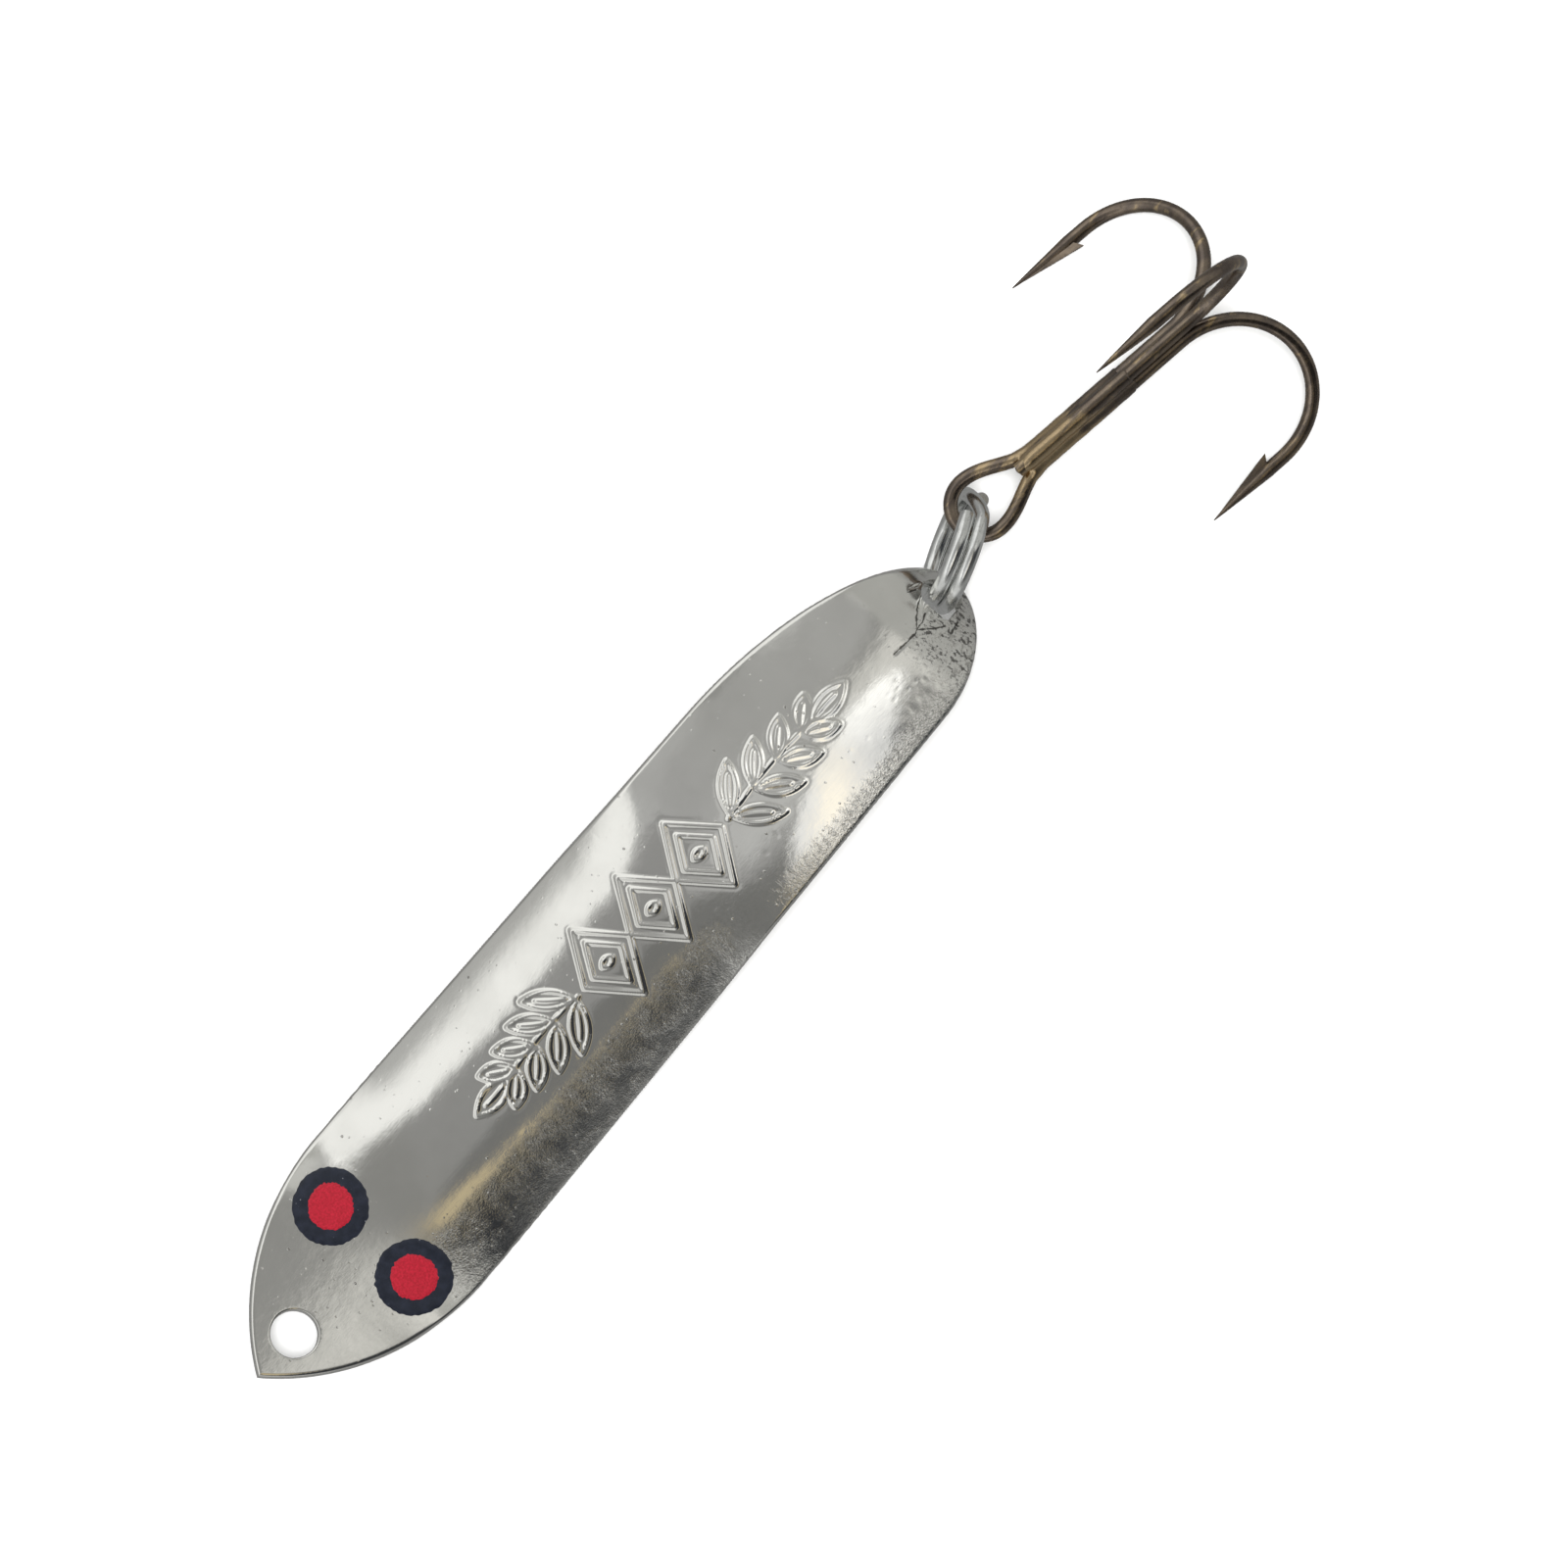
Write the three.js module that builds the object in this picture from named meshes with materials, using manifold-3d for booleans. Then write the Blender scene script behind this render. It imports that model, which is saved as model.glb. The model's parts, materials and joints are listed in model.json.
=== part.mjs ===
// A casting spoon for fishing: a stamped and plated metal blade with two painted
// eyes, a split ring through the hole in its tail, and a treble hook made of a
// double-hook wire, a single-hook wire and the braze that joins them.
//
// Millimetres. +X runs from the blade's nose to its tail, +Y is the blade's left
// side with its convex face up, and +Z is up. The lure lies on the plane z = 0,
// with the origin under the middle of its bounding box.

import * as THREE from "three";
import { mergeVertices } from "three/addons/utils/BufferGeometryUtils.js";
import Module from "manifold-3d";

const wasm = await Module();
wasm.setup();

const DEG = Math.PI / 180;

// Blade outline, seen from above
const BLADE_LENGTH = 70;
const BLADE_HALF_WIDTH = 7.33;
const NOSE_LENGTH = 14; // from the point to the full width
const SIDE_TAPER = 0.018; // half-width lost per millimetre behind the nose
const TAIL_LEFT_LENGTH = 18; // the long rounded corner of the tail
const TAIL_RIGHT_LENGTH = 7.1; // the short one
const TAIL_END_Y = -1.0;

// Blade sheet
const SHEET = 1.1;
const PAD_LENGTH = 7.8; // the nose is a flat pad this far back
const NOSE_SLOPE = -13 * DEG;
const NOSE_HEIGHT = 5.57; // of the sheet's middle surface at the point
const BENDS = [
  { from: PAD_LENGTH, to: 22, turn: 19 * DEG },
  { from: 16, to: 32, turn: 6.4 * DEG },
  { from: 43, to: 63, turn: -22.4 * DEG },
  { from: 63.5, to: 71, turn: -50 * DEG },
];
const EDGE_SLOPE = 32 * DEG; // of the rounded cross-section at full width
const CAMBER_TO = 21; // the cross-section is fully rounded from here back
const FLATTENING = { from: 38.5, to: 46.5, keep: 0.35 }; // and flatter again at the tail
const SPINE_STEP = 0.1; // the height is summed from the slope in steps this long
const SPINE_MARGIN = 1; // and this far past the tail
const NORMAL_STEP = 0.05; // the surface's normal is taken across this distance

// Holes
const LINE_TIE = { x: 3.65, y: 0, radius: 1.6 };
const TAIL_HOLE = { x: 68.42, y: -1.3, radius: 1.6 };
const HOLE_CUT = 6.6; // the length of the bar that cuts a hole

// Eyes: a black coat of paint with a red one on it
const EYE = { x: 11.5, y: 3.6, blackRadius: 2.58, redRadius: 1.57 };
const COAT = 0.1;
const COAT_GAP = 0.03;

// Split ring: two turns of wire side by side, with one step between them
const RING_WIRE = 1.05;
const RING_OUTER = 8.6;
const RING_COIL_GAP = 0.04;
const RING_STEP = { at: 50 * DEG, span: 50 * DEG };
const RING_YAW = 20.4 * DEG;
const RING_LEAN = 8.5 * DEG;
const WEB = { x: 69.6, y: -0.58 }; // metal between the tail hole and the end
const WEB_OFFSET = 2.4; // from the centre of the ring to the web
const WEB_BELOW = 14 * DEG; // the place of the web inside the ring, below its middle

// Treble hook, in its own frame: +X from the eye to the bends along the shank
const HOOK_WIRE = 1.0;
const SHANK_OFFSET = 0.6; // from the bundle's axis to each wire's
const BEND_START = 17.25;
const BEND_RADIUS = 5.6;
const SPEAR_LENGTH = 4.8; // the tapered part
const SPEAR_POINT = 11.1;
const SPEAR_RISE = 0.2; // the point lies this far outside the wire's centre
const POINT_RADIUS = 0.04;
const BARB = { front: 13.4, tip: 16.6, back: 16.1, lift: 1.05, width: 0.36 };
const EYE_LOOP = { centre: 0.2, radius: 2.05, neck: 5.2, shank: 6.2 };
const SINGLE = { start: 3.5, shift: 0.6 };
const BRAZE = { from: 4.3, to: 13.3, coat: 0.11, gap: 0.035, throat: 3.3, fillet: 0.62 };
const HOOK_SPREAD = 120 * DEG;
const HOOK_AT = { x: 75.0, y: 0.85, z: 6.42 };
const HOOK_YAW = -8.7 * DEG;
const HOOK_PITCH = 4 * DEG;
const HOOK_ROLL = 6.6 * DEG;

// Facets
const WIRE_SIDES = 10;
const RING_STEPS = 64;
const PAIR_STEPS = 96;
const SINGLE_STEPS = 40;
const SHEET_CELLS = { along: 44, across: 10 };
const DISC_SIDES = 24;
const DISC_RINGS = 3;
const SLEEVE_SIDES = 12;
const SHANK_STEPS = 8;
const BEND_STEPS = 12;
const SPEAR_STEPS = 4;
const EYE_LEG_STEPS = 5;
const EYE_LOOP_STEPS = 5;
const HOLE_SIDES = 24;

// Materials
const PLATE = { color: 0xc4c4bf, roughness: 0.2, metalness: 1 };
const RING_ZINC = { color: 0xbfc2c2, roughness: 0.28, metalness: 1 };
const BRONZE = { color: 0x4a3b30, roughness: 0.35, metalness: 1 };
const BRASS = { color: 0x8f7246, roughness: 0.4, metalness: 1 };
const BLACK_PAINT = { color: 0x14161c, roughness: 0.5, metalness: 0 };
const RED_PAINT = { color: 0xc2202c, roughness: 0.5, metalness: 0 };

// Smooth rise from 0 at "from" to 1 at "to".
function ease(x, from, to) {
  return THREE.MathUtils.smoothstep(x, from, to);
}

// ---- Blade ----------------------------------------------------------------

// Half-width of the pointed nose and the nearly straight sides behind it.
function sideHalfWidth(x) {
  if (x >= NOSE_LENGTH) return BLADE_HALF_WIDTH - SIDE_TAPER * (x - NOSE_LENGTH);
  const radius = (NOSE_LENGTH ** 2 + BLADE_HALF_WIDTH ** 2) / (2 * BLADE_HALF_WIDTH);
  const reach = NOSE_LENGTH - x;
  return BLADE_HALF_WIDTH - radius + Math.sqrt(radius ** 2 - reach ** 2);
}

// The blade's edge on one side (+1 left, -1 right): the side, then a quarter ellipse.
function edgeY(x, side) {
  const corner = side > 0 ? TAIL_LEFT_LENGTH : TAIL_RIGHT_LENGTH;
  const into = Math.max(0, x - (BLADE_LENGTH - corner)) / corner;
  const rounding = Math.sqrt(Math.max(0, 1 - into ** 2));
  return TAIL_END_Y * (1 - rounding) + side * sideHalfWidth(x) * rounding;
}

// Slope of the sheet along its length.
function spineSlope(x) {
  let slope = NOSE_SLOPE;
  for (const bend of BENDS) {
    slope += bend.turn * ease(x, bend.from, bend.to);
  }
  return slope;
}

// Heights of the sheet along its middle line, one per step, summed from the slope.
function spineHeights() {
  const heights = [NOSE_HEIGHT];
  for (let x = 0; x <= BLADE_LENGTH + SPINE_MARGIN; x += SPINE_STEP) {
    heights.push(heights.at(-1) + SPINE_STEP * Math.tan(spineSlope(x + SPINE_STEP / 2)));
  }
  return heights;
}

const SPINE = spineHeights();

function spineHeight(x) {
  const at = x / SPINE_STEP;
  const before = Math.floor(at);
  return THREE.MathUtils.lerp(SPINE[before], SPINE[before + 1], at - before);
}

// How much of the full rounding the cross-section has.
function camber(x) {
  const lost = (1 - FLATTENING.keep) * ease(x, FLATTENING.from, FLATTENING.to);
  return ease(x, PAD_LENGTH, CAMBER_TO) - lost;
}

function sheetHeight(x, y) {
  const curvature = (Math.tan(EDGE_SLOPE) / BLADE_HALF_WIDTH) * camber(x);
  return spineHeight(x) - (curvature * y ** 2) / 2;
}

// Upward normal of the sheet's middle surface.
function sheetNormal(x, y) {
  const ahead = x + NORMAL_STEP;
  const back = Math.max(0, x - NORMAL_STEP);
  const left = y + NORMAL_STEP;
  const right = y - NORMAL_STEP;
  const alongX = (sheetHeight(ahead, y) - sheetHeight(back, y)) / (ahead - back);
  const alongY = (sheetHeight(x, left) - sheetHeight(x, right)) / (left - right);
  return new THREE.Vector3(-alongX, -alongY, 1).normalize();
}

// The point that lies "offset" above the middle surface.
function sheetPoint(x, y, offset) {
  return new THREE.Vector3(x, y, sheetHeight(x, y)).addScaledVector(sheetNormal(x, y), offset);
}

// The sheet before its holes, as a unit box mapped onto the outline. Its rows of
// cells close up towards the nose and the tail, where the outline curves fastest.
function bladeBlank() {
  const blank = new THREE.BoxGeometry(1, 1, 1, SHEET_CELLS.along, SHEET_CELLS.across, 1);
  mapVertices(blank, (p) => {
    const x = (BLADE_LENGTH * (1 - Math.cos(Math.PI * (p.x + 0.5)))) / 2;
    const y = THREE.MathUtils.lerp(edgeY(x, -1), edgeY(x, 1), p.y + 0.5);
    return sheetPoint(x, y, p.z * SHEET);
  });
  return solid(blank);
}

// A bar square to the sheet, long enough to cut through its curved surface.
function holeCutter({ x, y, radius }) {
  const cutter = new THREE.CylinderGeometry(radius, radius, HOLE_CUT, HOLE_SIDES);
  const upright = new THREE.Quaternion().setFromUnitVectors(
    new THREE.Vector3(0, 1, 0),
    sheetNormal(x, y),
  );
  cutter.applyQuaternion(upright);
  cutter.translate(...sheetPoint(x, y, 0));
  return solid(cutter);
}

function blade() {
  return bladeBlank().subtract(holeCutter(LINE_TIE)).subtract(holeCutter(TAIL_HOLE));
}

// A round coat of paint on the upper face, "level" coats up from the metal.
function paintDisc(side, radius, level) {
  const profile = [];
  for (let i = 0; i <= DISC_RINGS; i += 1) {
    profile.push(new THREE.Vector2((radius * i) / DISC_RINGS, 0));
  }
  for (let i = DISC_RINGS; i >= 0; i -= 1) {
    profile.push(new THREE.Vector2((radius * i) / DISC_RINGS, COAT));
  }
  const disc = new THREE.LatheGeometry(profile, DISC_SIDES);
  const base = SHEET / 2 + COAT_GAP + level * (COAT + COAT_GAP);
  mapVertices(disc, (p) => sheetPoint(EYE.x + p.z, side * EYE.y + p.x, base + p.y));
  return solid(disc);
}

// ---- Split ring -----------------------------------------------------------

// In its own frame the ring stands in the XZ plane, round the Y axis.
class SplitRingCurve extends THREE.Curve {
  getPoint(t, target = new THREE.Vector3()) {
    const radius = (RING_OUTER - RING_WIRE) / 2;
    const turned = t * (4 * Math.PI - RING_STEP.span);
    const stepped = ease(turned, 2 * Math.PI - RING_STEP.span, 2 * Math.PI);
    const angle = RING_STEP.at + turned;
    const side = (RING_WIRE + RING_COIL_GAP) * (0.5 - stepped);
    return target.set(radius * Math.cos(angle), side, radius * Math.sin(angle));
  }
}

function splitRing() {
  return sweep(new SplitRingCurve(), RING_STEPS, () => RING_WIRE / 2);
}

// ---- Treble hook ----------------------------------------------------------

// A place in one hook's plane: "along" the shank, "out" from its axis, and
// "aside" square to the plane. The spread angle is measured from +Z towards +Y.
function inHookPlane(spread, along, out, aside = 0) {
  const y = out * Math.sin(spread) - aside * Math.cos(spread);
  const z = out * Math.cos(spread) + aside * Math.sin(spread);
  return new THREE.Vector3(along, y, z);
}

// Centre line of one hook: its shank from "from", the bend and the spear.
function hookPoints(spread, from, shift = 0) {
  const points = [];
  for (let i = 0; i < SHANK_STEPS; i += 1) {
    const along = THREE.MathUtils.lerp(from, BEND_START + shift, i / SHANK_STEPS);
    points.push(inHookPlane(spread, along, SHANK_OFFSET));
  }
  for (let i = 0; i < BEND_STEPS; i += 1) {
    const angle = (Math.PI * i) / BEND_STEPS;
    const along = BEND_START + shift + BEND_RADIUS * Math.sin(angle);
    points.push(inHookPlane(spread, along, SHANK_OFFSET + BEND_RADIUS * (1 - Math.cos(angle))));
  }
  for (let i = 0; i <= SPEAR_STEPS; i += 1) {
    const along = THREE.MathUtils.lerp(BEND_START, SPEAR_POINT, i / SPEAR_STEPS) + shift;
    const out = SHANK_OFFSET + 2 * BEND_RADIUS + (SPEAR_RISE * i) / SPEAR_STEPS;
    points.push(inHookPlane(spread, along, out));
  }
  return points;
}

// Half of the pear-shaped eye, from the neck forward to the loop's front.
function eyePoints(side) {
  const neck = inHookPlane(side * HOOK_SPREAD, EYE_LOOP.neck, SHANK_OFFSET);
  const shankY = Math.abs(neck.y);
  const points = [];
  for (let i = 0; i < EYE_LEG_STEPS; i += 1) {
    const t = i / EYE_LEG_STEPS;
    const swell = (1 - Math.cos(Math.PI * t)) / 2;
    const along = THREE.MathUtils.lerp(EYE_LOOP.neck, EYE_LOOP.centre, t);
    const y = THREE.MathUtils.lerp(shankY, EYE_LOOP.radius, swell);
    points.push(new THREE.Vector3(along, side * y, neck.z));
  }
  for (let i = 0; i < EYE_LOOP_STEPS; i += 1) {
    const angle = (Math.PI / 2) * (i / EYE_LOOP_STEPS);
    const along = EYE_LOOP.centre - EYE_LOOP.radius * Math.sin(angle);
    points.push(new THREE.Vector3(along, side * EYE_LOOP.radius * Math.cos(angle), neck.z));
  }
  return points;
}

// Centre line of the doubled wire: one hook, round the eye and back to the other.
function pairCurve() {
  const half = (side) => {
    const hook = hookPoints(side * HOOK_SPREAD, EYE_LOOP.shank);
    return [...hook.reverse(), ...eyePoints(side)];
  };
  const front = new THREE.Vector3(
    EYE_LOOP.centre - EYE_LOOP.radius,
    0,
    inHookPlane(HOOK_SPREAD, 0, SHANK_OFFSET).z,
  );
  return new THREE.CatmullRomCurve3([...half(1), front, ...half(-1).reverse()]);
}

function singleCurve() {
  return new THREE.CatmullRomCurve3(hookPoints(0, SINGLE.start, SINGLE.shift));
}

// Radius of a hook's wire at a distance from its point.
function spearRadius(distance) {
  const taper = Math.min(1, distance / SPEAR_LENGTH);
  return THREE.MathUtils.lerp(POINT_RADIUS, HOOK_WIRE / 2, taper);
}

// The sliver raised from the inner side of the spear, pointing back to the bend.
function barb(spread, shift = 0) {
  const wireOut = SHANK_OFFSET + 2 * BEND_RADIUS;
  const outline = new THREE.Shape([
    new THREE.Vector2(BARB.front, wireOut),
    new THREE.Vector2(BARB.back, wireOut),
    new THREE.Vector2(BARB.back, wireOut - HOOK_WIRE / 2),
    new THREE.Vector2(BARB.tip, wireOut - BARB.lift),
    new THREE.Vector2(BARB.front, wireOut - HOOK_WIRE / 4),
  ]);
  const wedge = new THREE.ExtrudeGeometry(outline, { depth: BARB.width, bevelEnabled: false });
  mapVertices(wedge, (p) => inHookPlane(spread, p.x + shift, p.y, p.z - BARB.width / 2));
  return solid(wedge);
}

function hookPair() {
  const wire = sweep(pairCurve(), PAIR_STEPS, (before, after) => {
    return spearRadius(Math.min(before, after));
  });
  return wire.add(barb(HOOK_SPREAD)).add(barb(-HOOK_SPREAD));
}

function hookSingle() {
  const wire = sweep(singleCurve(), SINGLE_STEPS, (before, after) => spearRadius(after));
  return wire.add(barb(0, SINGLE.shift));
}

// A round bar along the shank over the wire of one hook.
function shankSleeve(spread, radius) {
  const centre = inHookPlane(spread, (BRAZE.from + BRAZE.to) / 2, SHANK_OFFSET);
  const length = BRAZE.to - BRAZE.from;
  const sleeve = new THREE.CylinderGeometry(radius, radius, length, SLEEVE_SIDES);
  sleeve.rotateZ(-Math.PI / 2);
  sleeve.translate(...centre);
  return solid(sleeve);
}

// The braze that fills the crotch of the eye.
function throatFillet() {
  const eyeLevel = inHookPlane(HOOK_SPREAD, 0, SHANK_OFFSET).z;
  const outline = new THREE.Shape([
    new THREE.Vector2(BRAZE.throat, -EYE_LOOP.radius / 2),
    new THREE.Vector2(EYE_LOOP.neck, -HOOK_WIRE / 2),
    new THREE.Vector2(EYE_LOOP.neck, HOOK_WIRE / 2),
    new THREE.Vector2(BRAZE.throat, EYE_LOOP.radius / 2),
  ]);
  const depth = BRAZE.fillet;
  const fillet = new THREE.ExtrudeGeometry(outline, { depth, bevelEnabled: false });
  fillet.translate(0, 0, eyeLevel - depth / 2);
  return solid(fillet);
}

// A thin coat round the three shanks, with room left for the wires themselves.
function braze() {
  const coated = HOOK_WIRE / 2 + BRAZE.coat;
  const channel = HOOK_WIRE / 2 + BRAZE.gap;
  let coat = throatFillet();
  for (const spread of [0, HOOK_SPREAD, -HOOK_SPREAD]) {
    coat = coat.add(shankSleeve(spread, coated));
  }
  return coat
    .subtract(sweep(pairCurve(), PAIR_STEPS, () => channel))
    .subtract(sweep(singleCurve(), SINGLE_STEPS, () => channel));
}

// ---- Solids and meshes ----------------------------------------------------

function mapVertices(geometry, place) {
  const position = geometry.getAttribute("position");
  const p = new THREE.Vector3();
  for (let i = 0; i < position.count; i += 1) {
    p.fromBufferAttribute(position, i);
    position.setXYZ(i, ...place(p));
  }
}

// Round wire along a curve. radiusAt takes the lengths of wire before and after a
// place and gives the radius there.
function sweep(curve, steps, radiusAt) {
  const wire = new THREE.CylinderGeometry(1, 1, 1, WIRE_SIDES, steps);
  const centres = curve.getSpacedPoints(steps);
  const { normals, binormals } = curve.computeFrenetFrames(steps);
  const length = curve.getLength();
  mapVertices(wire, (p) => {
    const i = Math.round((p.y + 0.5) * steps);
    const before = (length * i) / steps;
    const radius = radiusAt(before, length - before);
    const place = centres[i].clone().addScaledVector(normals[i], radius * p.x);
    return place.addScaledVector(binormals[i], -radius * p.z);
  });
  return solid(wire);
}

// A closed geometry as a solid, without the faces that its mapping has closed up.
function solid(geometry) {
  const bare = new THREE.BufferGeometry();
  bare.setAttribute("position", geometry.getAttribute("position"));
  bare.setIndex(geometry.getIndex());
  const merged = mergeVertices(bare, 1e-4);
  const index = merged.getIndex().array;
  const triVerts = [];
  for (let i = 0; i < index.length; i += 3) {
    const [a, b, c] = index.slice(i, i + 3);
    if (a !== b && b !== c && c !== a) triVerts.push(a, b, c);
  }
  return new wasm.Manifold(
    new wasm.Mesh({
      numProp: 3,
      vertProperties: new Float32Array(merged.getAttribute("position").array),
      triVerts: new Uint32Array(triVerts),
    }),
  );
}

function meshOf(name, shape, look) {
  const { vertProperties, triVerts } = shape.getMesh();
  const geometry = new THREE.BufferGeometry();
  geometry.setAttribute("position", new THREE.BufferAttribute(vertProperties, 3));
  geometry.setIndex(new THREE.BufferAttribute(triVerts, 1));
  geometry.computeVertexNormals();
  const mesh = new THREE.Mesh(geometry, new THREE.MeshStandardMaterial(look));
  mesh.name = name;
  return mesh;
}

// ---- Assembly -------------------------------------------------------------

function bladeGroup() {
  const group = new THREE.Group();
  group.add(meshOf("blade", blade(), PLATE));
  for (const [name, side] of [["left", 1], ["right", -1]]) {
    group.add(meshOf(`${name}_eye_black`, paintDisc(side, EYE.blackRadius, 0), BLACK_PAINT));
    group.add(meshOf(`${name}_eye_red`, paintDisc(side, EYE.redRadius, 1), RED_PAINT));
  }
  return group;
}

function ringGroup() {
  const group = new THREE.Group();
  group.add(meshOf("split_ring", splitRing(), RING_ZINC));
  group.rotation.set(RING_LEAN, 0, RING_YAW, "ZYX");
  const web = new THREE.Vector3(-Math.cos(WEB_BELOW), 0, -Math.sin(WEB_BELOW));
  web.multiplyScalar(WEB_OFFSET).applyEuler(group.rotation);
  group.position.copy(sheetPoint(WEB.x, WEB.y, 0)).sub(web);
  return group;
}

function hookGroup() {
  const group = new THREE.Group();
  group.add(meshOf("hook_pair", hookPair(), BRONZE));
  group.add(meshOf("hook_single", hookSingle(), BRONZE));
  group.add(meshOf("braze", braze(), BRASS));
  group.rotation.set(-HOOK_ROLL, -HOOK_PITCH, HOOK_YAW, "ZYX");
  group.position.set(HOOK_AT.x, HOOK_AT.y, HOOK_AT.z);
  return group;
}

function spoonLure() {
  const lure = new THREE.Group();
  lure.add(bladeGroup(), ringGroup(), hookGroup());
  const box = new THREE.Box3().setFromObject(lure, true);
  const centre = box.getCenter(new THREE.Vector3());
  lure.position.set(-centre.x, -centre.y, -box.min.z);
  return lure;
}

export default spoonLure();
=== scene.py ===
"""Looks of the casting spoon: a plated blade with two painted eyes, a split ring and
a bronzed treble hook, lying on a pale floor under soft studio light.

Lengths below are millimetres in the lure's design frame, where x = 0 is the blade's
nose and y = 0 its middle line. SHIFT moves them to the row frame, in metres.
"""

import json
import math

import bmesh
import bpy
import numpy as np
from mathutils import Matrix, Vector
from mathutils.kdtree import KDTree


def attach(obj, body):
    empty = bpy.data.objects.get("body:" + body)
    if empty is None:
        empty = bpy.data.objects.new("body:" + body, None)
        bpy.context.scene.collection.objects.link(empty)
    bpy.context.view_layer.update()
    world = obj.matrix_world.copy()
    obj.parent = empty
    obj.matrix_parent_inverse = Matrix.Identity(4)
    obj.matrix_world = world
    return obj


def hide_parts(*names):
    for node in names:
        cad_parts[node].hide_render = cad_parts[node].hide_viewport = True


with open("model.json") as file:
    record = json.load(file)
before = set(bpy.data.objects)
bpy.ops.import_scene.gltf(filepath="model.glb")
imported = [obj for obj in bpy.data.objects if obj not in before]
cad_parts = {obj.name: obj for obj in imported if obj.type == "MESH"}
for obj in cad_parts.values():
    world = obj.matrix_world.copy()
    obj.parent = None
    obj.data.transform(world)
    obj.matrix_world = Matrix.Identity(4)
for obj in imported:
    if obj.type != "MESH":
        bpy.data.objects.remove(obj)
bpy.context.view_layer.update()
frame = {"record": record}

MM = 0.001
DEG = math.pi / 180
rng = np.random.default_rng(7)

# Blade outline and sheet
LENGTH = 70.0
HALF_WIDTH = 7.33
NOSE_LENGTH = 14.0
SIDE_TAPER = 0.018
TAIL_LEFT = 18.0
TAIL_RIGHT = 7.1
TAIL_END_Y = -1.0
SHEET = 1.1
PAD_LENGTH = 7.8
NOSE_SLOPE = -13 * DEG
NOSE_HEIGHT = 5.57
BENDS = (  # from, to and the turn between them
    (7.8, 22.0, 19 * DEG),
    (16.0, 32.0, 6.4 * DEG),
    (43.0, 63.0, -22.4 * DEG),
    (63.5, 71.0, -50 * DEG),
)
EDGE_SLOPE = 32 * DEG
CAMBER_TO = 21.0
FLATTENING = (38.5, 46.5, 0.65)  # from, to and the share of the arch lost
TOP_ROUND = 0.3
BOTTOM_ROUND = 0.2
NOSE_GRID_TO, TAIL_GRID_FROM = 21.0, 61.2
# x, y, radius, reach to the nose and reach to the right, where the tail hole has closed up
HOLES = ((3.65, 0.0, 1.6, 1.6, 1.6), (68.42, -1.3, 1.6, 1.3, 1.2))
RIM = 0.14
EYE_X, EYE_Y = 11.5, 3.6
BLACK_RADIUS, RED_RADIUS = 2.58, 1.57

# Split ring
RING_WIRE = 1.02
RING_OUTER = 8.6
RING_COIL_GAP = 0.04
RING_STEP_AT = 50 * DEG
RING_STEP_SPAN = 50 * DEG
RING_YAW = 20.4 * DEG
RING_LEAN = 8.5 * DEG
WEB = (69.6, -0.58)
WEB_OFFSET = 2.4
WEB_BELOW = 14 * DEG

# Treble hook, in its own frame with x along the shank
HOOK_WIRE = 0.97
SHANK_OFFSET = 0.6
BEND_START = 17.25
BEND_RADIUS = 5.585
SPEAR_LENGTH = 4.8
SPEAR_POINT = 11.1
SPEAR_RISE = 0.2
BARB_TIP, BARB_BACK, BARB_LIFT = 16.6, 16.1, 1.05
EYE_CENTRE, EYE_RADIUS, EYE_NECK = 0.2, 2.05, 5.2
SINGLE_START, SINGLE_SHIFT = 3.5, 0.6
BRAZE_TO = 13.3
SPREAD = 120 * DEG
HOOK_AT = (75.0, 0.85, 6.42)
HOOK_YAW = -8.7 * DEG
HOOK_PITCH = 4 * DEG
HOOK_ROLL = 6.6 * DEG


# ---- Blade surface ---------------------------------------------------------


def ease(x, start, end):
    t = np.clip((np.asarray(x, float) - start) / (end - start), 0, 1)
    return t * t * (3 - 2 * t)


def ease_slope(x, start, end):
    t = np.clip((np.asarray(x, float) - start) / (end - start), 0, 1)
    return 6 * t * (1 - t) / (end - start)


def side_half_width(x):
    radius = (NOSE_LENGTH**2 + HALF_WIDTH**2) / (2 * HALF_WIDTH)
    reach = np.clip(NOSE_LENGTH - x, 0, None)
    nose = HALF_WIDTH - radius + np.sqrt(radius**2 - reach**2)
    return np.where(x < NOSE_LENGTH, nose, HALF_WIDTH - SIDE_TAPER * (x - NOSE_LENGTH))


def edge_y(x, side):
    corner = TAIL_LEFT if side > 0 else TAIL_RIGHT
    into = np.clip(x - (LENGTH - corner), 0, None) / corner
    rounding = np.sqrt(np.clip(1 - into**2, 0, None))
    return TAIL_END_Y * (1 - rounding) + side * side_half_width(x) * rounding


def spine_slope(x):
    return NOSE_SLOPE + sum(turn * ease(x, start, end) for start, end, turn in BENDS)


SPINE_STEP = 0.02
SPINE_X = np.arange(0, LENGTH + 1, SPINE_STEP)
SPINE_Z = NOSE_HEIGHT + SPINE_STEP * np.concatenate(
    ([0.0], np.cumsum(np.tan(spine_slope(SPINE_X[:-1] + SPINE_STEP / 2))))
)


def camber(x):
    start, end, lost = FLATTENING
    full = math.tan(EDGE_SLOPE) / HALF_WIDTH
    return full * (ease(x, PAD_LENGTH, CAMBER_TO) - lost * ease(x, start, end))


def camber_slope(x):
    start, end, lost = FLATTENING
    full = math.tan(EDGE_SLOPE) / HALF_WIDTH
    return full * (ease_slope(x, PAD_LENGTH, CAMBER_TO) - lost * ease_slope(x, start, end))


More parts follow.
